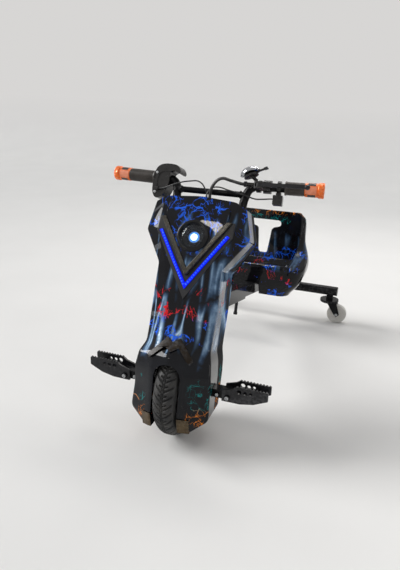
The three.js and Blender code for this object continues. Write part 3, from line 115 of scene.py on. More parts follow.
class Facing(Enum):
    """The plane that an outline lies in; it is thickened along the third axis."""

    FRONT = "front"
    SIDE = "side"

    def point(self, across: float, up: float, depth: float) -> Vector:
        """A point of the plane at a depth along the third axis."""
        return Vector((across, depth, up) if self is Facing.FRONT else (depth, across, up))


# Modelling

def pick_only(piece: Piece) -> None:
    """Selects one object and makes it the active one.

    Args:
        piece: The object.
    """
    bpy.ops.object.select_all(action="DESELECT")
    piece.select_set(True)
    bpy.context.view_layer.objects.active = piece


@contextmanager
def editing(piece: Piece) -> Iterator[bmesh.types.BMesh]:
    """Opens a mesh in edit mode with all of it selected.

    Args:
        piece: The mesh object.

    Yields:
        The mesh being edited, valid until an operator changes its shape.
    """
    pick_only(piece)
    bpy.ops.object.mode_set(mode="EDIT")
    bpy.ops.mesh.select_mode(type="VERT")
    bpy.ops.mesh.select_all(action="SELECT")
    yield bmesh.from_edit_mesh(piece.data)
    bpy.ops.object.mode_set(mode="OBJECT")


def select(piece: Piece, mesh: bmesh.types.BMesh, chosen: Callable[[bmesh.types.BMVert], bool]) -> None:
    """Selects only the points of an edited mesh that pass a test.

    Args:
        piece: The mesh object.
        mesh: Its mesh in edit mode.
        chosen: The test.
    """
    bpy.ops.mesh.select_all(action="DESELECT")
    mesh.verts.ensure_lookup_table()
    for vertex in mesh.verts:
        vertex.select_set(chosen(vertex))
    mesh.select_flush_mode()
    bmesh.update_edit_mesh(piece.data)


def named(name: str) -> Piece:
    """Names the object that was just added.

    Args:
        name: The name for it and its data.

    Returns:
        The object.
    """
    piece = bpy.context.object
    piece.name = piece.data.name = name
    return piece


def settled(piece: Piece) -> Piece:
    """Applies the place, turn and scale of the picked object to its mesh."""
    bpy.ops.object.transform_apply(location=True, rotation=True, scale=True)
    return piece


def modified(piece: Piece, kind: str, **settings: object) -> Piece:
    """Adds one modifier and applies it.

    Args:
        piece: The mesh object.
        kind: The modifier's type.
        **settings: The modifier's own settings.

    Returns:
        The same object.
    """
    pick_only(piece)
    modifier = piece.modifiers.new(kind.title(), kind)
    for key, value in settings.items():
        setattr(modifier, key, value)
    bpy.ops.object.modifier_apply(modifier=modifier.name)
    return piece


def faced(piece: Piece) -> Piece:
    """Turns every face outwards.

    Args:
        piece: The mesh object.

    Returns:
        The same object.
    """
    with editing(piece):
        bpy.ops.mesh.normals_make_consistent(inside=False)
    return piece


def outward(piece: Piece) -> Piece:
    """Merges doubled points and turns every face outwards.

    Args:
        piece: The mesh object.

    Returns:
        The same object.
    """
    with editing(piece):
        bpy.ops.mesh.remove_doubles(threshold=0.002)
        bpy.ops.mesh.delete_loose(use_verts=True, use_edges=True, use_faces=False)
    return faced(piece)


def outlined(name: str, points: Sequence[Point], fill: str = "NGON") -> Piece:
    """Draws a closed outline.

    Args:
        name: The piece's name.
        points: Its corners in order.
        fill: NGON for one face, NOTHING for bare edges.

    Returns:
        The flat piece.
    """
    bpy.ops.mesh.primitive_circle_add(vertices=len(points), fill_type=fill)
    piece = named(name)
    for vertex, point in zip(piece.data.vertices, points):
        vertex.co = point
    return piece


def extruded(piece: Piece, reach: Point) -> Piece:
    """Thickens a flat piece.

    Args:
        piece: The flat piece.
        reach: The vector that it is thickened along.

    Returns:
        The solid.
    """
    with editing(piece):
        bpy.ops.mesh.extrude_region_move(TRANSFORM_OT_translate={"value": reach})
    return outward(piece)


def turned(name: str, profile: Sequence[Pair], steps: int = 64) -> Piece:
    """Spins a closed profile about Z.

    Args:
        name: The piece's name.
        profile: Radius and height of each corner, in order round the profile.
        steps: Sides of the round.

    Returns:
        The turned solid.
    """
    piece = outlined(name, [(radius, 0.0, height) for radius, height in profile], "NOTHING")
    with editing(piece):
        bpy.ops.mesh.spin(steps=steps, angle=math.tau, center=(0, 0, 0), axis=(0, 0, 1))
    return outward(piece)


def swept(name: str, points: Sequence[Point], radius: float, sides: int = 5, smooth: int = 10) -> Piece:
    """Runs a round tube through points on a smooth curve.

    Args:
        name: The piece's name.
        points: The points of the middle line.
        radius: The tube's radius.
        sides: Resolution of the round; the tube gets about four times as many sides.
        smooth: Steps between two points.

    Returns:
        The tube as a closed mesh.
    """
    bpy.ops.curve.primitive_bezier_curve_add()
    piece = named(name)
    curve = piece.data
    curve.splines.clear()
    spline = curve.splines.new("BEZIER")
    spline.bezier_points.add(len(points) - 1)
    for knot, point in zip(spline.bezier_points, points):
        knot.co = point
        knot.handle_left_type = knot.handle_right_type = "AUTO"
    curve.dimensions = "3D"
    curve.bevel_depth = radius
    curve.bevel_resolution = sides
    curve.resolution_u = smooth
    curve.use_fill_caps = True
    pick_only(piece)
    bpy.ops.object.convert(target="MESH")
    return outward(bpy.context.object)


def prism(name: str, outline: Sequence[Pair], low: float, high: float, facing: Facing) -> Piece:
    """Thickens an outline from low to high along the axis across its plane."""
    flat = outlined(name, [facing.point(across, up, low) for across, up in outline])
    return extruded(flat, facing.point(0, 0, high - low))


def block(name: str, low: Point, high: Point) -> Piece:
    """A box between two corners, as a start for bevels and cuts.

    Args:
        name: The piece's name.
        low: The lowest corner.
        high: The highest corner.

    Returns:
        The box.
    """
    bpy.ops.mesh.primitive_cube_add(size=1, location=[(a + b) / 2 for a, b in zip(low, high)])
    piece = named(name)
    piece.scale = [b - a for a, b in zip(low, high)]
    return settled(piece)


def rod(name: str, start: Point, end: Point, radius: float, sides: int = 32) -> Piece:
    """A straight round bar between two points.

    Args:
        name: The piece's name.
        start: Middle of one end.
        end: Middle of the other end.
        radius: The bar's radius.
        sides: Sides of the round.

    Returns:
        The bar.
    """
    first, last = Vector(start), Vector(end)
    reach = last - first
    bpy.ops.mesh.primitive_cylinder_add(
        vertices=sides, radius=radius, depth=reach.length, location=(first + last) / 2,
        rotation=reach.to_track_quat("Z", "Y").to_euler(),
    )
    return settled(named(name))


def bolt(middle: Point, axis: Point, radius: float) -> Piece:
    """A socket-head bolt: a bevelled head with a six-sided recess.

    Args:
        middle: Middle of the face that the head stands on.
        axis: The way the head faces.
        radius: The head's radius.

    Returns:
        The bolt head.
    """
    out, foot = Vector(axis).normalized(), Vector(middle)
    head = rod("bolt", foot - out * radius * 0.4, foot + out * radius * 0.75, radius, 24)
    modified(head, "BEVEL", width=radius * 0.16, segments=2, limit_method="ANGLE")
    recess = rod("recess", foot + out * radius * 0.25, foot + out * radius, radius * 0.52, 6)
    return cut(head, recess)


def joined(name: str, pieces: Sequence[Piece]) -> Piece:
    """Joins meshes into one object.

    Args:
        name: The new object's name.
        pieces: The meshes.

    Returns:
        The joined object.
    """
    bpy.ops.object.select_all(action="DESELECT")
    for piece in pieces:
        piece.select_set(True)
    bpy.context.view_layer.objects.active = pieces[0]
    bpy.ops.object.join()
    return named(name)


def cut(piece: Piece, *cutters: Piece) -> Piece:
    """Cuts solids out of a piece and removes them.

    Args:
        piece: The piece that loses material.
        *cutters: The solids to cut away.

    Returns:
        The cut piece.
    """
    for cutter in cutters:
        modified(piece, "BOOLEAN", operation="DIFFERENCE", object=cutter, solver="EXACT")
        bpy.data.objects.remove(cutter)
    return piece


def smoothed(piece: Piece, angle: float = 32) -> Piece:
    """Shades faces smooth up to an angle, with flat faces kept flat.

    Args:
        piece: The mesh object.
        angle: Edges sharper than this, in degrees, stay sharp.

    Returns:
        The same object.
    """
    pick_only(piece)
    bpy.ops.object.shade_smooth_by_angle(angle=math.radians(angle))
    return modified(piece, "WEIGHTED_NORMAL", keep_sharp=True, weight=60)


def softened(piece: Piece, width: float, segments: int = 2, angle: float = 28) -> Piece:
    """Rounds the edges of a piece that are sharper than an angle in degrees, and shades it."""
    limit = {"limit_method": "ANGLE", "angle_limit": math.radians(angle)}
    return smoothed(modified(piece, "BEVEL", width=width, segments=segments, **limit))


def moved(piece: Piece, place: Matrix) -> Piece:
    """Moves a piece within millimetres, with its place in its mesh.

    Args:
        piece: The mesh object.
        place: The move.

    Returns:
        The same object.
    """
    pick_only(piece)
    piece.matrix_world = place @ piece.matrix_world
    return settled(piece)


def placed(piece: Piece, place: Matrix) -> Piece:
    """Puts a piece made in millimetres in its frame's place, in metres."""
    return moved(piece, Matrix.Scale(MM, 4) @ place)


def traced(node: str, name: str, whole: bool) -> Piece:
    """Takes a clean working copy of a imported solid, in metres.

    Args:
        node: The solid's name.
        name: The copy's name.
        whole: Whether flat faces become one face each, which suits faces without holes.

    Returns:
        The copy with merged points.
    """
    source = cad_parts[node]
    piece = source.copy()
    piece.data = source.data.copy()
    for key in list(piece.keys()):
        del piece[key]
    piece.parent = None
    piece.name = name
    piece.data.name = name
    bpy.context.scene.collection.objects.link(piece)
    pick_only(piece)
    if piece.data.has_custom_normals:
        bpy.ops.mesh.customdata_custom_splitnormals_clear()
    with editing(piece):
        bpy.ops.mesh.remove_doubles(threshold=1e-5)
        if whole:
            bpy.ops.mesh.dissolve_limited(angle_limit=math.radians(0.6))
    return piece


def blend_rows(
    lengths: Sequence[float], fillet: float, steps: int = 4, between: int = 5,
) -> list[dict[int, float]]:
    """Weights that run along stations straight, with each inner station rounded.

    Args:
        lengths: Length of each stretch between two stations.
        fillet: How far from a station its rounding starts.
        steps: Steps of each rounding.
        between: Steps of each straight stretch.

    Returns:
        For each row, the weight of each station in it.
    """
    shares = [min(fillet / length, 0.42) for length in lengths]
    last = len(lengths)
    rows: list[dict[int, float]] = []
    for i, share in enumerate(shares):
        start = share if i > 0 else 0.0
        end = 1.0 - share if i + 1 < last else 1.0
        for k in range(between + 1):
            place = start + (end - start) * k / between
            rows.append({i: 1.0 - place, i + 1: place})
        if i + 1 == last:
            break
        ahead = shares[i + 1]
        for k in range(1, steps):
            t = k / steps
            before, after = (1 - t) ** 2, t ** 2
            rows.append({
                i: before * share,
                i + 1: before * (1 - share) + 2 * t * (1 - t) + after * (1 - ahead),
                i + 2: after * ahead,
            })
    return rows


def skinned(
    name: str, stations: Sequence[Sequence[Vector]], heights: Point, widths: Point, fillet: float,
) -> Piece:
    """Lays a skin over stations, with rounded creases both ways and a lid on both ends.

    Args:
        name: The piece's name.
        stations: Rows of points, lowest first, all of one count.
        heights: Distance between each two stations.
        widths: Typical distance between each two points of a station.
        fillet: How far the creases are rounded.

    Returns:
        The skin, open only between its two sides.
    """
    rows, columns = blend_rows(heights, fillet), blend_rows(widths, fillet)
    across, up = len(columns) - 1, len(rows) - 1
    bpy.ops.mesh.primitive_grid_add(x_subdivisions=across, y_subdivisions=up, size=1)
    piece = named(name)
    ends: tuple[set[int], set[int]] = (set(), set())
    for vertex in piece.data.vertices:
        column = columns[round((vertex.co.x + 0.5) * across)]
        level = round((vertex.co.y + 0.5) * up)
        if level in (0, up):
            ends[level == up].add(vertex.index)
        point = Vector((0, 0, 0))
        for i, up_weight in rows[level].items():
            for j, across_weight in column.items():
                point += stations[i][j] * (up_weight * across_weight)
        vertex.co = point
    for border in ends:
        with editing(piece) as mesh:
            select(piece, mesh, lambda vertex: vertex.index in border)
            bpy.ops.mesh.edge_face_add()
    return piece


# Finishes

class Tree:
    """A node tree that is being filled."""

    def __init__(self, tree: bpy.types.NodeTree) -> None:
        """Empties the tree and keeps it."""
        self.tree = tree
        tree.nodes.clear()

    def add(self, kind: str, inputs: Inputs | None = None, **settings: object) -> Node:
        """Adds a node.

        Args:
            kind: The node's type, without its leading word.
            inputs: The value of each input, or the output that feeds it.
            **settings: The node's own settings.

        Returns:
            The node.
        """
        node = self.tree.nodes.new(f"ShaderNode{kind}")
        for key, value in settings.items():
            setattr(node, key, value)
        self.feed(node, inputs or {})
        return node

    def feed(self, node: Node, inputs: Inputs) -> None:
        """Sets or links inputs of a node.

        Args:
            node: The node.
            inputs: The value of each input, or the output that feeds it.
        """
        for key, value in inputs.items():
            socket = node.inputs[key]
            if isinstance(value, Socket):
                self.tree.links.new(value, socket)
            else:
                socket.default_value = (*value, 1.0) if socket.type == "RGBA" else value

    def noise(
        self, vector: Socket, scale: Socket | float, detail: float, bent: float = 0.0, output: str = "Fac",
    ) -> Socket:
        """A noise texture on a vector, with its octaves and how far it is bent."""
        inputs = {"Vector": vector, "Scale": scale, "Detail": detail, "Distortion": bent}
        return self.add("TexNoise", inputs).outputs[output]

    def ranged(
        self, value: Socket, low: float, high: float, start: Socket | float = 0.0, end: Socket | float = 1.0,
    ) -> Socket:
        """Maps the range from low to high to the range from start to end, clamped."""
        return self.add("MapRange", {"Value": value, 1: low, 2: high, 3: start, 4: end}).outputs["Result"]

    def sum(self, operation: str, first: Socket, second: Socket | float = 0.0) -> Socket:
        """Works out one sum of two values."""
        return self.add("Math", {0: first, 1: second}, operation=operation).outputs[0]

    def vectors(self, operation: str, first: Socket, second: Socket | Triple, output: str = "Vector") -> Socket:
        """Works out one sum of two vectors."""
        return self.add("VectorMath", {0: first, 1: second}, operation=operation).outputs[output]

    def along(self, vector: Socket, axis: str) -> Socket:
        """One coordinate of a vector."""
        return self.add("SeparateXYZ", {"Vector": vector}).outputs[axis]

    def stretched(self, vector: Socket, scale: Triple) -> Socket:
        """A vector with each axis scaled."""
        return self.add("Mapping", {"Vector": vector, "Scale": scale}).outputs["Vector"]

    def mixed(self, share: Socket, first: Socket | Triple, second: Socket | Triple) -> Socket:
        """Mixes two colours by the share of the second."""
        return self.add("Mix", {0: share, 6: first, 7: second}, data_type="RGBA").outputs[2]

    def blended(self, share: Socket, first: Node, second: Node) -> Socket:
        """Mixes two shaders by the share of the second."""
        return self.add("MixShader", {"Fac": share, 1: first.outputs[0], 2: second.outputs[0]}).outputs[0]

    def use(self, pattern: Callable[["Tree", Sockets], dict[str, Socket]], **inputs: object) -> Sockets:
        """Places the node group of a pattern, made at its first use.

        Args:
            pattern: Fills the group from its inputs and gives what its outputs show.
            **inputs: The value of each input, or the output that feeds it.

        Returns:
            The outputs of the group's node.
        """
        name = pattern.__name__.replace("_", " ").capitalize()
        made = bpy.data.node_groups.get(name)
        if not made:
            made = bpy.data.node_groups.new(name, "ShaderNodeTree")
            inner = Tree(made)
            for label, value in inputs.items():
                kind = "Vector" if label == "Vector" else "Color" if isinstance(value, tuple) else "Float"
                made.interface.new_socket(name=label, in_out="INPUT", socket_type=f"NodeSocket{kind}")
            shown = pattern(inner, made.nodes.new("NodeGroupInput").outputs)
            for label in shown:
                kind = "Color" if label == "Color" else "Float"
                made.interface.new_socket(name=label, in_out="OUTPUT", socket_type=f"NodeSocket{kind}")
            inner.feed(made.nodes.new("NodeGroupOutput"), shown)
        node = self.add("Group")
        node.node_tree = made
        self.feed(node, inputs)
        return node.outputs


def mottle(tree: Tree, given: Sockets) -> dict[str, Socket]:
    """Slow changes of tone and of gloss, as on handled and moulded surfaces.

    Args:
        tree: The group's tree.
        given: Vector, First, Second, Scale, Smooth and Rough.

    Returns:
        The colour and the roughness.
    """
    vector, scale = given["Vector"], given["Scale"]
    tone = tree.noise(vector, scale, 4.0)
    smear = tree.noise(vector, tree.sum("MULTIPLY", scale, 0.37), 6.0, 0.6)
    return {
        "Color": tree.mixed(tree.ranged(tone, 0.35, 0.65), given["First"], given["Second"]),
        "Roughness": tree.ranged(smear, 0.3, 0.7, given["Smooth"], given["Rough"]),
    }


def grain(tree: Tree, given: Sockets) -> dict[str, Socket]:
    """Fine moulded or cast grain: cells and noise laid over each other.

    Args:
        tree: The group's tree.
        given: Vector and Scale.

    Returns:
        The height.
    """
    vector, scale = given["Vector"], given["Scale"]
    cells = tree.add("TexVoronoi", {"Vector": vector, "Scale": scale}, feature="F1").outputs["Distance"]
    fine = tree.noise(vector, tree.sum("MULTIPLY", scale, 1.7), 3.0)
    return {"Height": tree.sum("ADD", cells, fine)}


def edge_wear_and_highlight(tree: Tree, given: Sockets) -> dict[str, Socket]:
    """Rubbed places along outward edges, broken up by noise; on the brow the same mask paints pale edge
    highlights.

    Args:
        tree: The group's tree.
        given: Vector and Amount.

    Returns:
        The mask.
    """
    edge = tree.ranged(tree.add("NewGeometry").outputs["Pointiness"], 0.52, 0.62)
    spots = tree.ranged(tree.noise(given["Vector"], 120.0, 5.0), 0.42, 0.62)
    return {"Mask": tree.sum("MULTIPLY", tree.sum("MULTIPLY", edge, spots), given["Amount"])}


def floor_dust(tree: Tree, given: Sockets) -> dict[str, Socket]:
    """Dust that thins out upwards from the floor, broken up by noise.

    Args:
        tree: The group's tree.
        given: Vector and Amount.

    Returns:
        The mask.
    """
    low = tree.ranged(tree.along(given["Vector"], "Z"), 0.0, 0.16, 1.0, 0.25)
    patch = tree.ranged(tree.noise(given["Vector"], 34.0, 6.0, 0.4), 0.4, 0.75)
    return {"Mask": tree.sum("MULTIPLY", tree.sum("MULTIPLY", low, patch), given["Amount"])}


def cell_borders(tree: Tree, vector: Socket, scale: float, width: Socket) -> Socket:
    """The borders of cells as thin lines, their width given as a share of a cell."""
    cells = tree.add("TexVoronoi", {"Vector": vector, "Scale": scale}, feature="DISTANCE_TO_EDGE")
    return tree.ranged(tree.sum("DIVIDE", cells.outputs["Distance"], width), 0.55, 1.0, 1.0, 0.0)


def branching_print(tree: Tree, given: Sockets) -> dict[str, Socket]:
    """Branching cracks, patches and smoky streaks of a printed gloss skin; the pale streaks also paint
    reflections of the lamps.

    Args:
        tree: The group's tree.
        given: Vector.

    Returns:
        The masks of the cracks, of the patches and of the streaks, which are smoky print with painted
        reflection, and the bent height.
    """
    vector = given["Vector"]
    bend = tree.vectors("SUBTRACT", tree.noise(vector, 19.0, 5.0, output="Color"), (0.5, 0.5, 0.5))
    place = tree.vectors("ADD", vector, tree.vectors("MULTIPLY", bend, (0.07, 0.07, 0.07)))
    cells = tree.stretched(place, (1.3, 1.3, 0.6))
    swell = tree.noise(vector, 26.0, 2.0)
    trunk = cell_borders(tree, cells, 24.0, tree.ranged(swell, 0.42, 0.74, 0.012, 0.075))
    twig = cell_borders(tree, cells, 62.0, tree.ranged(swell, 0.42, 0.7, 0.012, 0.055))
    cloud = tree.noise(vector, 15.0, 2.0, 0.4)
    wide = tree.sum("MULTIPLY", trunk, tree.ranged(cloud, 0.45, 0.51))
    close = tree.sum("MULTIPLY", twig, tree.ranged(cloud, 0.5, 0.55))
    # long streaks: smoky print, and painted reflections of the lamps
    print_and_sheen_noise = tree.noise(tree.stretched(vector, (24.0, 5.0, 2.4)), 1.0, 1.5, 0.25)
    off = tree.sum("ABSOLUTE", tree.sum("SUBTRACT", print_and_sheen_noise, 0.5))
    veil = tree.sum("POWER", tree.ranged(off, 0.0, 0.07, 1.0, 0.0), 1.6)
    fine = tree.ranged(tree.noise(vector, 60.0, 4.0), 0.25, 0.6, 0.45, 1.0)
    return {
        "Ink": tree.sum("MAXIMUM", wide, close),
        "Patch": tree.ranged(tree.noise(vector, 26.0, 1.0), 0.3, 0.7),
        "Veil": tree.sum("MULTIPLY", veil, fine),
        "Height": tree.along(place, "Z"),
    }


COAT_IOR = 1.3
DUST = (0.36, 0.33, 0.29)
# pale end of the streaks: a painted reflection over the smoky print
STREAK = (0.62, 0.82, 0.98)
EDGE_FADE = 0.012
# the plane behind which the fairing is satin: its normal, and where the coat starts and ends
SATIN_NORMAL = (0.0, 0.9397, -0.342)
SATIN_FADE = (-0.429, -0.426)
CLEAR_IOR = 1.2


@dataclass(frozen=True)
class Finish:
    """A surface with mottled tone and gloss, grain, pale edges and dust; the pale edges are rubbed paint, and
    on the brow a painted highlight.
    """

    name: str
    slot: str
    first: Triple
    second: Triple
    smooth: float
    rough: float
    metal: float = 0.0
    mottle: float = 30.0
    grain: float = 900.0
    depth: float = 0.05
    coat: float = 0.0
    coat_rough: float = 0.05
    specular: float = 0.5
    # how strong the pale edges are, and their colour: rubbed edges, and on the brow a painted highlight
    wear: float = 0.0
    worn: Triple = (0.45, 0.45, 0.46)
    dust: float = 0.0

    def material(self) -> Material:
        """Builds the shader and lets the finish paint it.

        Returns:
            The material.
        """
        material = bpy.data.materials.new(self.name)
        material.use_nodes = True
        tree = Tree(material.node_tree)
        shader = tree.add("BsdfPrincipled", {
            "Metallic": self.metal, "Coat Weight": self.coat, "Coat Roughness": self.coat_rough,
            "Coat IOR": COAT_IOR, "Specular IOR Level": self.specular,
        })
        tree.add("OutputMaterial", {"Surface": shader.outputs["BSDF"]})
        self.paint(tree, shader, tree.add("TexCoord").outputs["Object"])
        return material

    def ground(self, tree: Tree, shader: Node, vector: Socket) -> Socket:
        """Adds tone, gloss, grain, pale edges and dust; on the brow the pale edges are painted highlights.

        Args:
            tree: The material's tree.
            shader: The shader.
            vector: Where the patterns are read.

        Returns:
            The surface's colour.
        """
        tone = tree.use(
            mottle, Vector=vector, First=self.first, Second=self.second, Scale=self.mottle,
            Smooth=self.smooth, Rough=self.rough,
        )
        height = tree.use(grain, Vector=vector, Scale=self.grain)["Height"]
        bump = tree.add("Bump", {
            "Strength": min(self.depth * 4, 1.0), "Distance": self.depth * MM, "Height": height,
        })
        tree.feed(shader, {"Roughness": tone["Roughness"], "Normal": bump.outputs["Normal"]})
        colour = tone["Color"]
        # pale edges: rubbed, and on the brow a painted highlight
        for pattern, amount, over in ((edge_wear_and_highlight, self.wear, self.worn), (floor_dust, self.dust, DUST)):
            if amount:
                colour = tree.mixed(tree.use(pattern, Vector=vector, Amount=amount)["Mask"], colour, over)
        return colour

    def paint(self, tree: Tree, shader: Node, vector: Socket) -> None:
        """Colours the shader."""
        tree.feed(shader, {"Base Color": self.ground(tree, shader, vector)})


@dataclass(frozen=True)
class PrintedGloss(Finish):
    """A clear-coated black skin with branching colour, in bands by height."""

    # height, colour and covered share of each band
    bands: tuple[tuple[float, Triple, float], ...] = ()
    # blue of the streaks, smoky print with painted reflection
    veil: Triple = (0.12, 0.34, 0.72)
    # where the streaks, smoky print with painted reflection, start and end, and how dense they are
    veils: tuple[Triple, ...] = ()
    # half width and top of the plain middle
    plain: Pair = (0.0, -1.0)
    # how much of the coat is left on the satin rear half, if the skin has one
    satin: float = 1.0

    def streaks(self, tree: Tree, veil: Socket, height: Socket) -> Socket:
        """Keeps the smoky streaks and their painted reflection in their zones.

        Args:
            tree: The material's tree.
            veil: The streaks' mask, smoky print with painted reflection.
            height: The bent height.

        Returns:
            The mask inside the zones.
        """
        zones = None
        for start, end, density in self.veils:
            half = (end - start) / 2
            away = tree.sum("ABSOLUTE", tree.sum("SUBTRACT", height, start + half))
            zone = tree.ranged(away, half * 0.55, half, density, 0.0)
            zones = tree.sum("MAXIMUM", zones, zone) if zones else zone
        return tree.sum("MULTIPLY", veil, zones)

    def paint(self, tree: Tree, shader: Node, vector: Socket) -> None:
        """Colours the shader with the bands, the streaks with their painted reflection and the satin rear half.

        Args:
            tree: The material's tree.
            shader: The shader.
            vector: Where the patterns are read.
        """
        ground = self.ground(tree, shader, vector)
        skin = tree.use(branching_print, Vector=vector)
        height = skin["Height"]
        low, high = self.bands[0][0], self.bands[-1][0]
        ramp = tree.add("ValToRGB", {"Fac": tree.ranged(height, low, high)})
        elements = ramp.color_ramp.elements
        while len(elements) < len(self.bands):
            elements.new(1.0)
        for element, (place, colour, density) in zip(elements, self.bands):
            element.position = (place - low) / (high - low)
            element.color = (*colour, density)
        cover = tree.sum("ADD", skin["Patch"], ramp.outputs["Alpha"])
        ink = tree.sum("MULTIPLY", skin["Ink"], tree.ranged(cover, 0.96, 1.04))
        streaks = self.streaks(tree, skin["Veil"], height)
        half_width, top = self.plain
        beside = tree.sum("ABSOLUTE", tree.along(vector, "X"))
        aside = tree.ranged(beside, half_width, half_width + EDGE_FADE)
        above = tree.ranged(tree.along(vector, "Z"), top, top + EDGE_FADE)
        shown = tree.sum("MAXIMUM", aside, above)
        # the streaks: smoky print with painted reflection, palest where the reflection is strongest
        bright = tree.mixed(streaks, self.veil, STREAK)
        colour = tree.mixed(tree.sum("MULTIPLY", streaks, shown), ground, bright)
        colour = tree.mixed(tree.sum("MULTIPLY", ink, shown), colour, ramp.outputs["Color"])
        tree.feed(shader, {"Base Color": colour})
        if self.satin < 1.0:
            depth = tree.vectors("DOT_PRODUCT", vector, SATIN_NORMAL, "Value")
            tree.feed(shader, {"Coat Weight": tree.ranged(depth, *SATIN_FADE, 1.0, self.satin)})


@dataclass(frozen=True)
class Glow(Finish):
    """A translucent lit plastic."""

    light: Triple = (0.02, 0.1, 1.0)
    strength: float = 4.0

    def paint(self, tree: Tree, shader: Node, vector: Socket) -> None:
        """Colours the shader and lights it unevenly.

        Args:
            tree: The material's tree.
            shader: The shader.
            vector: Where the patterns are read.
        """
        super().paint(tree, shader, vector)
        cloud = tree.ranged(tree.noise(vector, 160.0, 2.0), 0.35, 0.65)
        deep = tuple(part * 0.55 for part in self.light)
        glow = tree.mixed(cloud, self.light, deep)
        tree.feed(shader, {"Emission Color": glow, "Emission Strength": self.strength})


@dataclass(frozen=True)
class Clear(Finish):
    """Clear moulded glass."""

    def paint(self, tree: Tree, shader: Node, vector: Socket) -> None:
        """Colours the shader and lets light through it."""
        super().paint(tree, shader, vector)
        tree.feed(shader, {"Transmission Weight": 1.0, "IOR": CLEAR_IOR})


ORANGE = (0.9, 0.26, 0.02)
TEAL = (0.005, 0.17, 0.17)
RED = (0.66, 0.012, 0.02)
ROYAL = (0.012, 0.12, 0.8)

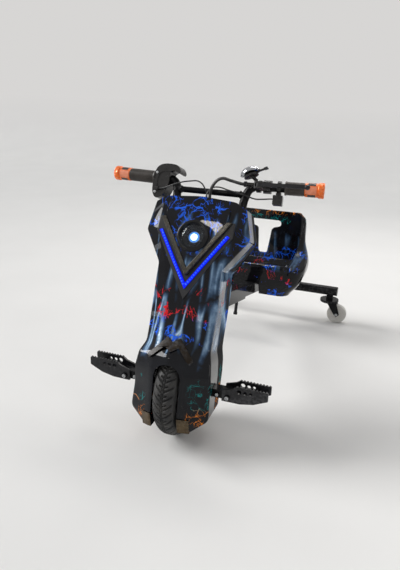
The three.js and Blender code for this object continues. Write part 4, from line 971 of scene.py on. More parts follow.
FINISHES = {
    "fairing": PrintedGloss(
        "Printed gloss fairing", "fairing_gloss", (0.004, 0.004, 0.006), (0.007, 0.008, 0.011), 0.1, 0.16,
        mottle=14, grain=420, depth=0.012, specular=0.0, coat=1.0, coat_rough=0.015,
        bands=(
            (0.03, ORANGE, 0.7), (0.06, ORANGE, 0.9), (0.118, ORANGE, 0.85), (0.13, TEAL, 0.75),
            (0.18, TEAL, 0.6), (0.205, TEAL, 0.0), (0.255, ROYAL, 0.0), (0.27, ROYAL, 0.4),
            (0.32, ROYAL, 0.4), (0.328, RED, 0.56), (0.385, RED, 0.56), (0.4, RED, 0.0),
            (0.455, ROYAL, 0.0), (0.48, ROYAL, 0.75), (0.6, ROYAL, 0.8),
        ),
        veils=((0.225, 0.375, 0.95), (0.375, 0.475, 0.6), (0.475, 0.57, 0.4)),
        plain=(0.05, 0.245), satin=0.12,
    ),
    "seat": PrintedGloss(
        "Printed gloss seat", "seat_gloss", (0.004, 0.004, 0.005), (0.008, 0.008, 0.01), 0.12, 0.2,
        mottle=16, grain=500, depth=0.015, specular=0.0, coat=1.0, coat_rough=0.02,
        bands=(
            (0.15, ROYAL, 0.3), (0.215, ROYAL, 0.2), (0.222, RED, 0.8), (0.246, RED, 0.8),
            (0.252, ROYAL, 0.8), (0.29, ROYAL, 0.7), (0.315, ROYAL, 0.0), (0.385, TEAL, 0.0),
            (0.4, TEAL, 0.85), (0.418, TEAL, 0.85), (0.424, ORANGE, 0.95), (0.45, ORANGE, 1.0),
        ),
        veils=((0.25, 0.36, 0.25),),
        plain=(-1.0, -1.0),
    ),
    # the brow's pale edge colour is a painted highlight along its edges
    "brow": Finish(
        "Dark brow gloss", "fairing_gloss", (0.02, 0.014, 0.009), (0.028, 0.02, 0.013), 0.16, 0.26,
        mottle=18, grain=420, depth=0.012, specular=0.12, wear=0.25, worn=(0.3, 0.34, 0.4),
    ),
    "foot": Finish(
        "Brown foot trim", "bronze_trim", (0.075, 0.046, 0.016), (0.05, 0.031, 0.012), 0.22, 0.34, metal=0.5,
        mottle=22, grain=1400, depth=0.02, wear=0.4, worn=(0.35, 0.28, 0.18),
    ),
    "bezel": Finish(
        "Dark lamp gloss", "matt_plastic", (0.003, 0.003, 0.004), (0.005, 0.005, 0.006), 0.1, 0.2,
        mottle=18, grain=420, depth=0.01, specular=0.1, coat=0.8, coat_rough=0.03,
    ),
    "trim": Finish(
        "Satin bronze trim", "bronze_trim", (0.034, 0.031, 0.025), (0.024, 0.022, 0.018), 0.22, 0.34, metal=0.5,
        mottle=22, grain=1400, depth=0.02, wear=0.4, worn=(0.25, 0.23, 0.19),
    ),
    "panel": Finish(
        "Fine matt black", "matt_plastic", (0.006, 0.006, 0.008), (0.011, 0.011, 0.013), 0.3, 0.45,
        mottle=40, grain=1500, depth=0.04,
    ),
    "moulding": Finish(
        "Moulded black plastic", "matt_plastic", (0.011, 0.01, 0.01), (0.018, 0.017, 0.016), 0.16, 0.28,
        mottle=60, grain=1300, depth=0.02, specular=0.4, wear=0.2, worn=(0.1, 0.095, 0.09),
    ),
    "frame": Finish(
        "Gloss black frame paint", "frame_paint", (0.006, 0.006, 0.007), (0.01, 0.01, 0.011), 0.12, 0.2,
        mottle=30, grain=340, depth=0.005, specular=0.02, coat=0.4, coat_rough=0.05, wear=0.1, dust=0.006,
    ),
    "black_alloy": Finish(
        "Black anodised alloy", "black_alloy", (0.005, 0.005, 0.007), (0.009, 0.009, 0.011), 0.3, 0.4,
        mottle=24, grain=1800, depth=0.02, specular=0.25, coat=0.3, wear=0.08, dust=0.008,
    ),
    "grip": Finish(
        "Soft grip rubber", "grip_rubber", (0.028, 0.022, 0.018), (0.045, 0.036, 0.03), 0.36, 0.5,
        mottle=50, grain=2400, depth=0.05,
    ),
    "tyre": Finish(
        "Tyre rubber", "tyre", (0.016, 0.016, 0.017), (0.026, 0.026, 0.026), 0.5, 0.7,
        mottle=26, grain=1600, depth=0.1, specular=0.35, dust=0.25,
    ),
    "tread": Finish(
        "Pale wheel tread", "caster_tread", (0.72, 0.7, 0.66), (0.58, 0.56, 0.52), 0.34, 0.5,
        mottle=36, grain=700, depth=0.05, dust=0.35,
    ),
    "cable": Finish(
        "Cable sheath", "cable_rubber", (0.014, 0.014, 0.014), (0.024, 0.024, 0.024), 0.3, 0.42,
        mottle=80, grain=900, depth=0.03,
    ),
    "orange": Finish(
        "Orange anodised alloy", "orange_alloy", (0.9, 0.17, 0.01), (0.78, 0.11, 0.005), 0.24, 0.36, metal=0.25,
        mottle=60, grain=1500, depth=0.02, wear=0.25, worn=(0.95, 0.5, 0.25),
    ),
    "orange_pale": Finish(
        "Pale orange panel", "orange_alloy", (0.85, 0.3, 0.17), (0.74, 0.22, 0.11), 0.34, 0.46,
        mottle=90, grain=1500, depth=0.03,
    ),
    "orange_plastic": Finish(
        "Orange button", "orange_plastic", (0.9, 0.22, 0.02), (0.75, 0.14, 0.01), 0.28, 0.4,
        mottle=90, grain=1500, depth=0.02,
    ),
    "steel": Finish(
        "Brushed steel", "steel", (0.5, 0.51, 0.52), (0.38, 0.39, 0.4), 0.24, 0.42, metal=1.0,
        mottle=90, grain=1200, depth=0.02, dust=0.06,
    ),
    "alloy": Finish(
        "Cast alloy", "motor_alloy", (0.4, 0.41, 0.43), (0.28, 0.29, 0.3), 0.3, 0.5, metal=0.95,
        mottle=40, grain=900, depth=0.06, dust=0.12,
    ),
    "chrome": Finish(
        "Polished chrome", "chrome", (0.42, 0.43, 0.45), (0.34, 0.35, 0.37), 0.07, 0.14, metal=1.0,
        mottle=50, grain=600, depth=0.004,
    ),
    "copper": Finish(
        "Varnished windings", "stator_iron", (0.42, 0.17, 0.07), (0.3, 0.1, 0.04), 0.3, 0.45, metal=0.8,
        mottle=90, grain=1500, depth=0.2,
    ),
    "grey": Finish(
        "Moulded grey plastic", "grey_plastic", (0.09, 0.095, 0.1), (0.13, 0.135, 0.14), 0.42, 0.6,
        mottle=40, grain=1100, depth=0.07,
    ),
    "wrap": Finish(
        "Battery shrink wrap", "battery_wrap", (0.02, 0.08, 0.3), (0.03, 0.1, 0.36), 0.2, 0.34,
        mottle=60, grain=260, depth=0.2,
    ),
    "led": Glow(
        "Lit blue strip", "led_blue", (0.0, 0.008, 0.3), (0.0, 0.006, 0.25), 0.4, 0.5,
        mottle=90, grain=900, depth=0.02, specular=0.2, light=(0.0, 0.01, 1.0), strength=0.95,
    ),
    "bead": Glow(
        "Lit blue beads", "led_blue", (0.02, 0.1, 0.8), (0.02, 0.08, 0.7), 0.2, 0.3,
        mottle=90, grain=900, depth=0.01, light=(0.01, 0.07, 1.0), strength=1.5,
    ),
    "core": Glow(
        "Lit lamp core", "led_blue", (0.8, 0.9, 1.0), (0.7, 0.85, 1.0), 0.2, 0.3,
        mottle=90, grain=900, depth=0.01, light=(0.62, 0.86, 1.0), strength=5.0,
    ),
    "halo": Glow(
        "Lit lamp ring", "led_blue", (0.05, 0.12, 0.3), (0.04, 0.1, 0.26), 0.1, 0.2,
        mottle=60, grain=900, depth=0.01, light=(0.1, 0.36, 0.95), strength=0.8,
    ),
    "glass": Clear(
        "Clear lens", "lamp_lens", (0.93, 0.96, 1.0), (0.9, 0.94, 1.0), 0.01, 0.03,
        mottle=20, grain=300, depth=0.002,
    ),
}


# Sub-assemblies

@dataclass
class Assembly:
    """A sub-assembly, and what dresses its pieces."""

    # the materials made so far, shared by every sub-assembly
    made: dict[str, Material]

    def coat(self, piece: Piece, finish: str) -> None:
        """Gives a mesh the material of a finish, made at its first use.

        Args:
            piece: The mesh object.
            finish: The finish's name.
        """
        self.made[finish] = self.made.get(finish) or FINISHES[finish].material()
        piece.data.materials.clear()
        piece.data.materials.append(self.made[finish])

    def dress(
        self, piece: Piece, finish: str, body: Body | str, *nodes: str, place: Matrix | None = None,
    ) -> None:
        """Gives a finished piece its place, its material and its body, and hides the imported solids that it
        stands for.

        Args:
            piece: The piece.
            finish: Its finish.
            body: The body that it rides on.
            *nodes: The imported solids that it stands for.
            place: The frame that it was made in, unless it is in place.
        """
        if place is not None:
            placed(piece, place)
        self.coat(piece, finish)
        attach(piece, body.value if isinstance(body, Body) else body)
        if nodes:
            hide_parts(*nodes)
        log.info("%s: %d faces, rides on %s", piece.name, len(piece.data.polygons), body)

    def rounded(
        self, node: str, width: float, finish: str, body: Body | str, segments: int = 2, whole: bool = True,
    ) -> Piece:
        """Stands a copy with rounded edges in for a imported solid.

        Args:
            node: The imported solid.
            width: The rounding's width in millimetres.
            finish: The piece's finish.
            body: The body that it rides on.
            segments: Steps of the rounding.
            whole: Whether flat faces become one face each.

        Returns:
            The piece.
        """
        piece = softened(traced(node, f"{node}_made", whole), width * MM, segments)
        self.dress(piece, finish, body, node)
        return piece

    def all_rounded(self, body: Body | str, *rows: tuple) -> None:
        """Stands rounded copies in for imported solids, each given by its node, width, finish and segments."""
        for node, width, finish, *segments in rows:
            self.rounded(node, width, finish, body, *segments)

    def spun(
        self, name: str, profile: Sequence[Pair], place: Matrix, finish: str, body: Body | str, *nodes: str,
        steps: int = 64, angle: float = 32,
    ) -> None:
        """Turns, shades, places and dresses one round piece."""
        piece = smoothed(turned(name, profile, steps), angle)
        self.dress(piece, finish, body, *nodes, place=place)

    def bolts(self, name: str, spots: Sequence[Sequence[object]], place: Matrix, body: Body | str) -> None:
        """Seats steel bolt heads, each given by its middle, axis and radius."""
        heads = smoothed(joined(name, [bolt(*spot) for spot in spots]))
        self.dress(heads, "steel", body, place=place)


@dataclass
class FrontWheel(Assembly):
    """Pneumatic tyre with curved grooves on a hub motor."""

    bead: float = 84.3
    bead_half: float = 19.0
    tread_half: float = 27.6
    tread_foot: float = 112.0
    crown_drop: float = 11.5
    hub_bolts: int = 9
    pitches: int = 34
    groove_depth: float = 3.2
    steps: int = 476

    def tread_depth(self, angle: float, across: float) -> float:
        """How deep the tread is cut at a place.

        Args:
            angle: Angle round the wheel.
            across: Place across the tread, from -1 to 1.

        Returns:
            The depth as a share of the groove's.
        """
        swept_back = 0.9 * abs(across) ** 1.4
        phase = (angle * self.pitches / math.tau + swept_back) % 1.0
        main = max(0.0, 1.0 - abs(phase - 0.5) / 0.13)
        other = (angle * self.pitches / math.tau + swept_back * 0.7 + 0.5) % 1.0
        short = max(0.0, 1.0 - abs(other - 0.5) / 0.08) if abs(across) < 0.45 else 0.0
        fade = min(1.0, max(0.0, (0.93 - abs(across)) / 0.1)) * min(1.0, abs(across) / 0.1)
        rib = 0.7 if abs(abs(across) - 0.07) < 0.035 else 0.0
        return max(min(1.0, main * 1.6) * fade, min(1.0, short * 1.5) * fade, rib)

    def tyre(self) -> None:
        """Turns the tyre and cuts its grooves."""
        profile: list[Pair] = [(self.bead, -self.bead_half), (self.bead, self.bead_half)]
        profile += [(88.0, 22.5), (94.0, 26.3), (104.0, 29.0), (110.0, 29.3)]
        tread = 40
        for k in range(tread + 1):
            across = 1 - 2 * k / tread
            crown = WHEEL_RADIUS - self.crown_drop * abs(across) ** 2.6
            profile.append((crown, across * self.tread_half))
        profile += [(110.0, -29.3), (104.0, -29.0), (94.0, -26.3), (88.0, -22.5)]
        piece = turned("front_tyre", profile, self.steps)
        for vertex in piece.data.vertices:
            x, y, z = vertex.co
            radius = math.hypot(x, y)
            if radius < self.tread_foot:
                continue
            cut_share = self.tread_depth(math.atan2(y, x), z / self.tread_half)
            scale = (radius - self.groove_depth * cut_share) / radius
            vertex.co = (x * scale, y * scale, z)
        self.dress(smoothed(piece, 50), "tyre", Body.WHEEL, "tyre", place=STEERING @ AXIS_TO_X)

    def hub(self) -> None:
        """Turns the motor shell and its cover, with ribs and bolts."""
        shell = turned("motor_shell", [
            (6.3, 38), (29, 38), (31, 37.4), (34, 35.6), (70, 27.2), (78, 25.2), (82.6, 24.4), (84, 23),
            (84, -23), (82.6, -24), (76, -24), (76, 20), (30, 34), (6.3, 34),
        ], 96)
        self.spun("motor_lid", [
            (6.3, -38), (29, -38), (31, -37.6), (34, -36.2), (74, -29.6), (82, -28.3), (84, -26.5),
            (84, -24.3), (76, -24.3), (30, -34), (6.3, -34),
        ], STEERING @ AXIS_TO_X, "alloy", Body.WHEEL, "motor_cover", steps=96)
        spots, ribs = [], []
        for k in range(self.hub_bolts):
            angle = math.tau * k / self.hub_bolts
            x, y = math.cos(angle), math.sin(angle)
            spots.append(((64 * x, 64 * y, -31.1), (0, 0, -1), 3.2))
            rib = block("shell_rib", (36, -2, 30.5), (72, 2, 32.6))
            with editing(rib) as mesh:
                for vertex in mesh.verts:
                    vertex.co.z -= (vertex.co.x - 36) * 0.18
            softened(rib, 0.7)
            ribs.append(moved(rib, shift(0, 0, 3.6) @ Matrix.Rotation(angle, 4, "Z")))
        body = joined("motor_shell", [smoothed(shell), *ribs])
        self.dress(body, "alloy", Body.WHEEL, "hub_motor", place=STEERING @ AXIS_TO_X)
        self.bolts("lid_bolts", spots, STEERING @ AXIS_TO_X, Body.WHEEL)

    def build(self) -> None:
        """Builds the wheel."""
        self.tyre()
        self.hub()
        self.rounded("front_axle", 0.6, "steel", Body.STEERING)
        self.coat(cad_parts["motor_stator"], "copper")


@dataclass
class Column(Assembly):
    """Fork, stem, bearings and the bolted bracket behind the fairing."""

    def build(self) -> None:
        """Builds the column."""
        self.all_rounded(
            Body.STEERING, ("fork", 1.4, "frame"), ("shell_bracket", 1.0, "frame"), ("stem_nut", 0.7, "steel"),
        )
        for node in ("steering_stem", "head_bearing_lower", "head_bearing_upper"):
            self.coat(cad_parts[node], "steel")


@dataclass
class Fairing(Assembly):
    """Front and rear shells with chevron, lamp, brow and foot trims."""

    half_width: float = 139.0
    height: float = 562.0
    drop: float = 96.0
    reach: float = 127.0
    seam: float = 80.0
    back: float = 120.0
    wall: float = 4.0
    face_reach: float = 73.0
    face_top: float = 429.0
    face_slope: float = 23 / 143
    lamp_height: float = 386.0
    lamp_vanes: int = 14
    band_lift: float = 1.8
    # across, depth and radius of the holes in its top, and between which heights they are cut
    top_holes: tuple[Triple, ...] = ((91 * 0.97, 3, 15), (-91 * 0.97, 3, 15), (0, -9, 14))
    top_range: Pair = (451.0, 520.0)
    # height, centre reach, edge width, edge reach, side width, side reach
    front: tuple[tuple[float, ...], ...] = (
        (0.000, 0.614, 0.302, 0.614, 0.460, 0.504),
        (0.062, 0.787, 0.273, 0.787, 0.755, 0.504),
        (0.167, 0.913, 0.302, 0.850, 0.734, 0.551),
        (0.254, 1.000, 0.331, 0.898, 0.734, 0.669),
        (0.319, 0.976, 0.331, 0.882, 0.698, 0.669),
        (0.367, 0.850, 0.302, 0.772, 0.626, 0.551),
        (0.438, 0.740, 0.302, 0.693, 0.626, 0.528),
        (0.546, 0.646, 0.331, 0.622, 0.633, 0.520),
        (0.726, 0.614, 0.446, 0.598, 0.612, 0.551),
        (0.870, 0.551, 0.705, 0.535, 1.000, 0.394),
        (1.000, 0.472, 0.662, 0.472, 0.870, 0.433),
    )
    # seam width, seam depth, seam rise, crown rise
    seams: tuple[tuple[float, ...], ...] = (
        (0.432, 0.500, 0.080, 0.000),
        (0.662, 0.700, 0.032, 0.000),
        (0.647, 0.750, 0.000, 0.000),
        (0.633, 0.800, 0.000, 0.000),
        (0.604, 0.850, 0.000, 0.000),
        (0.547, 0.925, 0.000, 0.000),
        (0.540, 0.962, 0.000, 0.000),
        (0.540, 1.000, 0.000, 0.000),
        (0.532, 0.975, 0.000, 0.000),
        (0.971, 0.550, 0.000, 0.000),
        (0.842, 0.425, 0.000, 0.041),
    )
    backs: tuple[float, ...] = (0.735, 0.767, 0.780, 0.792, 0.842, 1.000, 0.900, 0.660)

    def front_stations(self) -> list[list[Vector]]:
        """Lays out the front shell's stations.

        Returns:
            Rows of points, lowest first, from the right seam round the front to the left one.
        """
        stations = []
        for shares, (seam_width, seam_depth, seam_rise, crown_rise) in zip(self.front, self.seams):
            height, centre, edge_width, edge, side_width, side = shares
            z = height * self.height - self.drop
            crown = crown_rise * self.height
            left = [
                Vector((edge_width * self.half_width, -edge * self.reach, z + crown * 0.7)),
                Vector((side_width * self.half_width, -side * self.reach, z)),
                Vector((seam_width * self.half_width, seam_depth * self.seam, z + seam_rise * self.height)),
            ]
            right = [Vector((-p.x, p.y, p.z)) for p in reversed(left)]
            stations.append([*right, Vector((0, -centre * self.reach, z + crown)), *left])
        return stations

    def rear_stations(self) -> list[list[Vector]]:
        """Lays out the rear shell's stations.

        Returns:
            Rows of points, lowest first, from the left seam round the back to the right one.
        """
        stations = []
        for i, back in enumerate(self.backs):
            height = self.front[i + 3][0]
            seam_width, seam_depth = self.seams[i + 3][:2]
            z = height * self.height - self.drop
            x, y = seam_width * self.half_width, seam_depth * self.seam + 0.3
            deep = back * self.back
            left = [
                Vector((x, y, z)),
                Vector((x * 0.95, y + (deep - y) * 0.6, z)),
                Vector((x * 0.7, deep, z)),
            ]
            stations.append([*left, *[Vector((-p.x, p.y, p.z)) for p in reversed(left)]])
        return stations

    def shell(self, name: str, stations: list[list[Vector]], fillet: float) -> Piece:
        """Lays a closed-ended shell with a wall over stations.

        Args:
            name: The piece's name.
            stations: Its rows of points, lowest first.
            fillet: How far its creases are rounded.

        Returns:
            The shell.
        """
        heights = [max((b[0] - a[0]).length, 12) for a, b in zip(stations, stations[1:])]
        middle = stations[len(stations) // 2]
        widths = [(b - a).length for a, b in zip(middle, middle[1:])]
        piece = faced(skinned(name, stations, heights, widths, fillet))
        return modified(piece, "SOLIDIFY", thickness=self.wall, offset=-1, use_even_offset=True)

    def front_shell(self) -> None:
        """Builds the front shell with its openings."""
        piece = self.shell("fairing_front", self.front_stations(), 7.0)
        arch = [(35, -600), (35, 36), (31, 50), (22, 60), (11, 65), (0, 66.5)]
        arch += [(-x, z) for x, z in reversed(arch[:-1])]
        cutters = [prism("arch", arch, -300, 300, Facing.FRONT)]
        low, high = self.top_range
        for x, y, radius in self.top_holes:
            cutters.append(rod("top_hole", (x, y, low), (x, y, high), radius, 40))
        slot = block("peg_slot", (-160, -42, 137), (160, -8, 165))
        cutters.append(moved(slot, (UPRIGHT.inverted() @ STEERING).inverted()))
        cutters.append(self.lamp_bore())
        cut(piece, *cutters)
        self.dress(smoothed(piece, 40), "fairing", Body.STEERING, "front_shell", place=STEERING)

    def rear_shell(self) -> None:
        """Builds the rear shell with its slot and wheel opening."""
        piece = self.shell("fairing_rear", self.rear_stations(), 9.0)
        slot = softened(block("neck_slot", (-70.5, 0, 170), (70.5, 240, 250)), 8, 4)
        arch = rod("rear_arch", (-41, 0, 0), (41, 0, 0), 133, 96)
        cut(piece, slot, arch)
        self.dress(smoothed(piece, 40), "fairing", Body.STEERING, "rear_shell", place=STEERING)

    def face_at(self, z: float, out: float = 0.0) -> float:
        """Where the raised face lies along Y at a height, with an offset outwards."""
        return -(self.face_reach + (self.face_top - z) * self.face_slope) - out

    def lamp_place(self) -> Matrix:
        """The frame of the lamp, with Z out of the face."""
        tilt = -math.degrees(math.atan(self.face_slope))
        return shift(0, self.face_at(self.lamp_height), self.lamp_height) @ turn(tilt, "X") @ AXIS_TO_FRONT

    def lamp_bore(self) -> Piece:
        """The round opening for the lamp."""
        return moved(rod("lamp_bore", (0, 0, -40), (0, 0, 40), 36, 64), self.lamp_place())

    def on_face(self, name: str, outline: Sequence[Triple], depth: float) -> Piece:
        """A plate on the raised face's slope; a corner is across, height and offset outwards."""
        flat = outlined(name, [(x, self.face_at(z, out), z) for x, z, out in outline])
        return extruded(flat, (0, depth, 0))

    def raised_face(self) -> None:
        """Builds the shield-shaped raised face round the lamp."""
        outline = [(0, 306.6, 0), (79.6, 429, 0), (83, 446, -0.5), (80, 470, -5.5)]
        outline += [(-x, z, out) for x, z, out in reversed(outline[1:])]
        piece = self.on_face("fairing_face", outline, 22)
        with editing(piece):
            bpy.ops.mesh.quads_convert_to_tris(ngon_method="BEAUTY")
        cut(piece, self.lamp_bore())
        softened(piece, 1.8, 3, 24)
        self.dress(piece, "fairing", Body.STEERING, place=STEERING)

    def chevron(self) -> None:
        """Builds the bronze band, the dark panel and the light strip with its beads."""
        corners = [(0, 286), (94, 429), (80.6, 430.5), (0, 307.2), (-80.6, 430.5), (-94, 429)]
        band = self.on_face("chevron_band", [(x, z, self.band_lift) for x, z in corners], 24)
        softened(band, 2.6, 2, 24)
        self.dress(band, "trim", Body.STEERING, "v_trim", place=STEERING)
        self.rounded("v_panel", 0.9, "panel", Body.STEERING)
        strip = self.rounded("led_strip", 2.2, "led", Body.STEERING, 3)
        self.beads(strip)

    def beads(self, strip: Piece, count: int = 21, radius: float = 2.3) -> None:
        """Seats lit beads along the middle of the light strip.

        Args:
            strip: The finished light strip.
            count: Beads on each arm.
            radius: A bead's radius.
        """
        skin = BVHTree.FromPolygons(
            [vertex.co for vertex in strip.data.vertices],
            [polygon.vertices for polygon in strip.data.polygons],
        )
        beads = []
        inward = (STEERING.to_3x3() @ Vector((0, 1, 0))).normalized()
        for _, sign in SIDES:
            for k in range(count):
                share = (k + 0.5) / count
                x, z = sign * (2.0 + 84.5 * share), 262.5 + 132.0 * share
                start = (STEERING @ Vector((x, -200, z))) * MM
                place, *_ = skin.ray_cast(start, inward)
                if place is None:
                    continue
                bpy.ops.mesh.primitive_uv_sphere_add(segments=12, ring_count=6, radius=radius)
                beads.append(moved(named("bead"), Matrix.Translation(place / MM)))
        piece = joined("led_beads", beads)
        self.dress(smoothed(piece, 60), "bead", Body.STEERING, place=Matrix.Identity(4))

    def lamp(self) -> None:
        """Builds the headlamp: bezel, bowl, lit core, ring and domed lens."""
        place = STEERING @ self.lamp_place()
        spin = self.spun
        spin("lamp_bezel", [
            (32.2, 3.2), (33.2, 5.0), (35.4, 5.6), (38.6, 5.2), (40.6, 3.6), (41, 0.3), (35.7, 0.3),
            (35.7, -14), (32, -14), (32, 1.4),
        ], place, "bezel", Body.STEERING, "headlamp_bezel", steps=96, angle=40)
        spin("lamp_bowl", [
            (0, -12.6), (14, -12.6), (16, -11.8), (17, -9.4), (24.4, -8.4), (25.4, -6.0), (31.4, -4.4),
            (31.4, -13.6), (0, -13.6),
        ], place, "bezel", Body.STEERING)
        spokes = []
        for k in range(self.lamp_vanes):
            vane = block("vane", (17 + 2 * (k % 2), -0.2, -9.6), (29 - 4 * (k % 3), 0.2, -6.4))
            spokes.append(moved(softened(vane, 0.1, 1), turn(k * 360 / self.lamp_vanes, "Z")))
        vanes = placed(joined("lamp_vanes", spokes), place)
        self.dress(vanes, "chrome", Body.STEERING)
        ring = [(8.4, -11.4), (13.6, -11.9), (14, -12.2), (8.4, -12.5)]
        spin("lamp_ring", ring, place, "halo", Body.STEERING)
        spin("lamp_core", [
            (0, -12.4), (8.2, -12.4), (8, -9.4), (6.4, -7.2), (3.6, -6.0), (0, -5.6),
        ], place, "core", Body.STEERING, angle=60)
        outer, inner = [], []
        for k in range(11):
            angle = math.radians(90 * k / 10)
            outer.append((31.6 * math.cos(angle), -1.0 + 8.6 * math.sin(angle)))
            inner.append((29.8 * math.cos(angle), -1.0 + 6.9 * math.sin(angle)))
        dome = [*outer, *reversed(inner), (29.8, -3.2), (31.6, -3.2)]
        spin("lamp_lens", dome, place, "glass", Body.STEERING, "headlamp_lens", angle=50)

    def build(self) -> None:
        """Builds the fairing."""
        self.front_shell()
        self.rear_shell()
        self.raised_face()
        self.chevron()
        self.lamp()
        self.rounded("brow_trim", 1.6, "brow", Body.STEERING, 1)
        for label, _ in SIDES:
            self.rounded(f"foot_trim_{label}", 1.0, "foot", Body.STEERING)


@dataclass
class Handlebar(Assembly):
    """Bent bar with its crossbar, clamp, grips and orange caps."""

    radius: float = 11.0
    foot: float = 440.0
    rise: float = 99.0
    riser: float = 91.0
    setback: float = 12.0
    cap_start: float = 116.5
    cap_teeth: int = 12
    # depth and height of the crossbar
    crossbar: Pair = (6.0, 513.0)
    # across, back, up
    bends: tuple[Triple, ...] = (
        (0.66, 0.00, 0.00), (0.80, 0.00, 0.02), (0.93, 0.08, 0.14), (1.00, 0.33, 0.40),
        (1.03, 0.67, 0.66), (1.10, 0.98, 0.87), (1.23, 1.05, 0.975),
    )

    def bar(self) -> None:
        """Sweeps the bar in one run from end to end and welds its crossbar on."""
        halves = []
        for _, sign in SIDES:
            local = STEERING.inverted() @ bar_end(sign)
            points = [
                Vector((sign * a * self.riser, b * self.setback, self.foot + c * self.rise))
                for a, b, c in self.bends
            ]
            points += [local @ Vector((sign * x, 0, 0)) for x in (0, 40, 80, 120, 157.5)]
            halves.append(points)
        left, right = halves
        middle = [Vector((x, 0, self.foot)) for x in (-30, 0, 30)]
        bar = swept("bar", [*reversed(right), *middle, *left], self.radius, 7, 8)
        cross = swept("crossbar", [(x, *self.crossbar) for x in (-93, -40, 40, 93)], 8, 6, 3)
        welds = []
        for _, sign in SIDES:
            weld = turned("weld", [(7.6, -2), (9.4, -1.2), (10.2, 0.6), (9.8, 2.4), (7.6, 3.2)], 32)
            welds.append(moved(weld, shift(sign * 82.6, *self.crossbar) @ turn(sign * -90, "Y")))
        piece = smoothed(joined("handlebar_made", [bar, cross, *welds]), 40)
        self.dress(piece, "frame", Body.STEERING, "handlebar", place=STEERING)

    def grip(self, sign: int, start: float, name: str, body: Body, node: str) -> None:
        """Turns one ribbed rubber grip.

        Args:
            sign: The side.
            start: Where the grip starts along the bar end.
            name: The piece's name.
            body: The body that it rides on.
            node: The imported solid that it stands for.
        """
        end = self.cap_start - 0.3
        outer: list[Pair] = [(11.3, start), (17.6, start), (18.2, start + 1.2), (17.6, start + 3.2)]
        place = start + 4.4
        while place < end - 3.4:
            outer += [(16.2, place), (17.0, place + 0.5), (17.0, place + 2.0), (16.2, place + 2.5)]
            place += 3.3
        outer += [(16.4, end - 1.0), (16.0, end), (11.3, end)]
        place = bar_end(sign) @ turn(sign * 90, "Y")
        self.spun(name, outer, place, "grip", body, node, steps=40, angle=50)

    @staticmethod
    def arc_plate(name: str, span: Pair, ends: Pair, radii: Pair) -> Piece:
        """A plate curved about the bar.

        Args:
            name: The piece's name.
            span: Its first and last angle, in degrees from the back over the top.
            ends: Where it starts and ends along the bar.
            radii: Its inner and outer radius.

        Returns:
            The plate.
        """
        steps = 8
        angles = [math.radians(span[0] + (span[1] - span[0]) * k / steps) for k in range(steps + 1)]
        inner, outer = radii
        outline = [(outer * math.cos(a), outer * math.sin(a)) for a in angles]
        outline += [(inner * math.cos(a), inner * math.sin(a)) for a in reversed(angles)]
        return softened(prism(name, outline, *ends, Facing.SIDE), 0.35, 1)

    def cap(self, label: str, sign: int) -> None:
        """Builds one orange cap: toothed end ring, dark windows with pale frames that paint their edge
        highlights, and pale panels.

        Args:
            label: The side's name.
            sign: The side.
        """
        start = self.cap_start
        body = turned("cap", [
            (11.3, 0), (16.8, 0), (17.4, 0.7), (17.4, 32.6), (18.2, 33.6), (19.0, 34.2), (19.5, 35.4),
            (19.5, 46), (18.6, 47.5), (9.0, 47.5), (8.4, 46.6), (0, 46.2), (0, 42), (11.3, 42),
        ], 60)
        teeth = [rod("tooth", (0, 0, 42.4), (0, 0, 50), 2.3, 16) for _ in range(self.cap_teeth)]
        for k, tooth in enumerate(teeth):
            moved(tooth, turn(360 * k / self.cap_teeth, "Z") @ shift(20.2, 0, 0))
        cut(body, joined("teeth", teeth))
        moved(softened(body, 0.5, 2, 40), shift(start, 0, 0) @ turn(90, "Y"))
        windows, panels, highlight_frames = [], [], []
        for k in range(3):
            first = 112 + 120 * k
            ends = (start + 7, start + 27)
            windows.append(self.arc_plate("window", (first, first + 42), ends, (16.9, 17.62)))
            # pale frames on both edges of each window, in the panel colour: painted edge highlights
            for edge in ((first - 4, first), (first + 42, first + 46)):
                highlight_frames.append(self.arc_plate("frame", edge, (start + 5, start + 29), (16.9, 17.75)))
            span, ends = (first + 51, first + 112), (start + 1.5, start + 29)
            panels.append(self.arc_plate("panel", span, ends, (16.9, 17.7)))
        for name, pieces, finish, nodes in (
            ("cap_made", [body], "orange", [f"grip_cap_{label}"]),
            ("cap_windows", windows, "panel", []),
            ("cap_panels", panels + highlight_frames, "orange_pale", []),
        ):
            piece = joined(f"{name}_{label}", pieces)
            if sign < 0:
                modified(piece, "MIRROR", use_axis=(True, False, False))
                with editing(piece):
                    bpy.ops.mesh.bisect(plane_co=(0, 0, 0), plane_no=(1, 0, 0), clear_outer=True)
                    bpy.ops.mesh.select_all(action="SELECT")
                    bpy.ops.mesh.normals_make_consistent(inside=False)
            placed(piece, bar_end(sign))
            self.dress(piece, finish, Body.STEERING, *nodes)

    def clamp(self) -> None:
        """Rounds the clamp and adds its four bolts."""
        top = self.foot + self.radius + 4
        spots = [((x, y, top), (0, 0, 1), 3.4) for x in (-15, 15) for y in (-14.5, 14.5)]
        self.bolts("clamp_bolts", spots, STEERING, Body.STEERING)
        self.rounded("bar_clamp", 1.4, "alloy", Body.STEERING)

    def build(self) -> None:
        """Builds the handlebar."""
        self.bar()
        self.clamp()
        self.grip(1, 67, "left_grip", Body.STEERING, "grip_left")
        self.grip(-1, 38, "right_grip", Body.THROTTLE, "throttle_grip")
        for label, sign in SIDES:
            self.cap(label, sign)


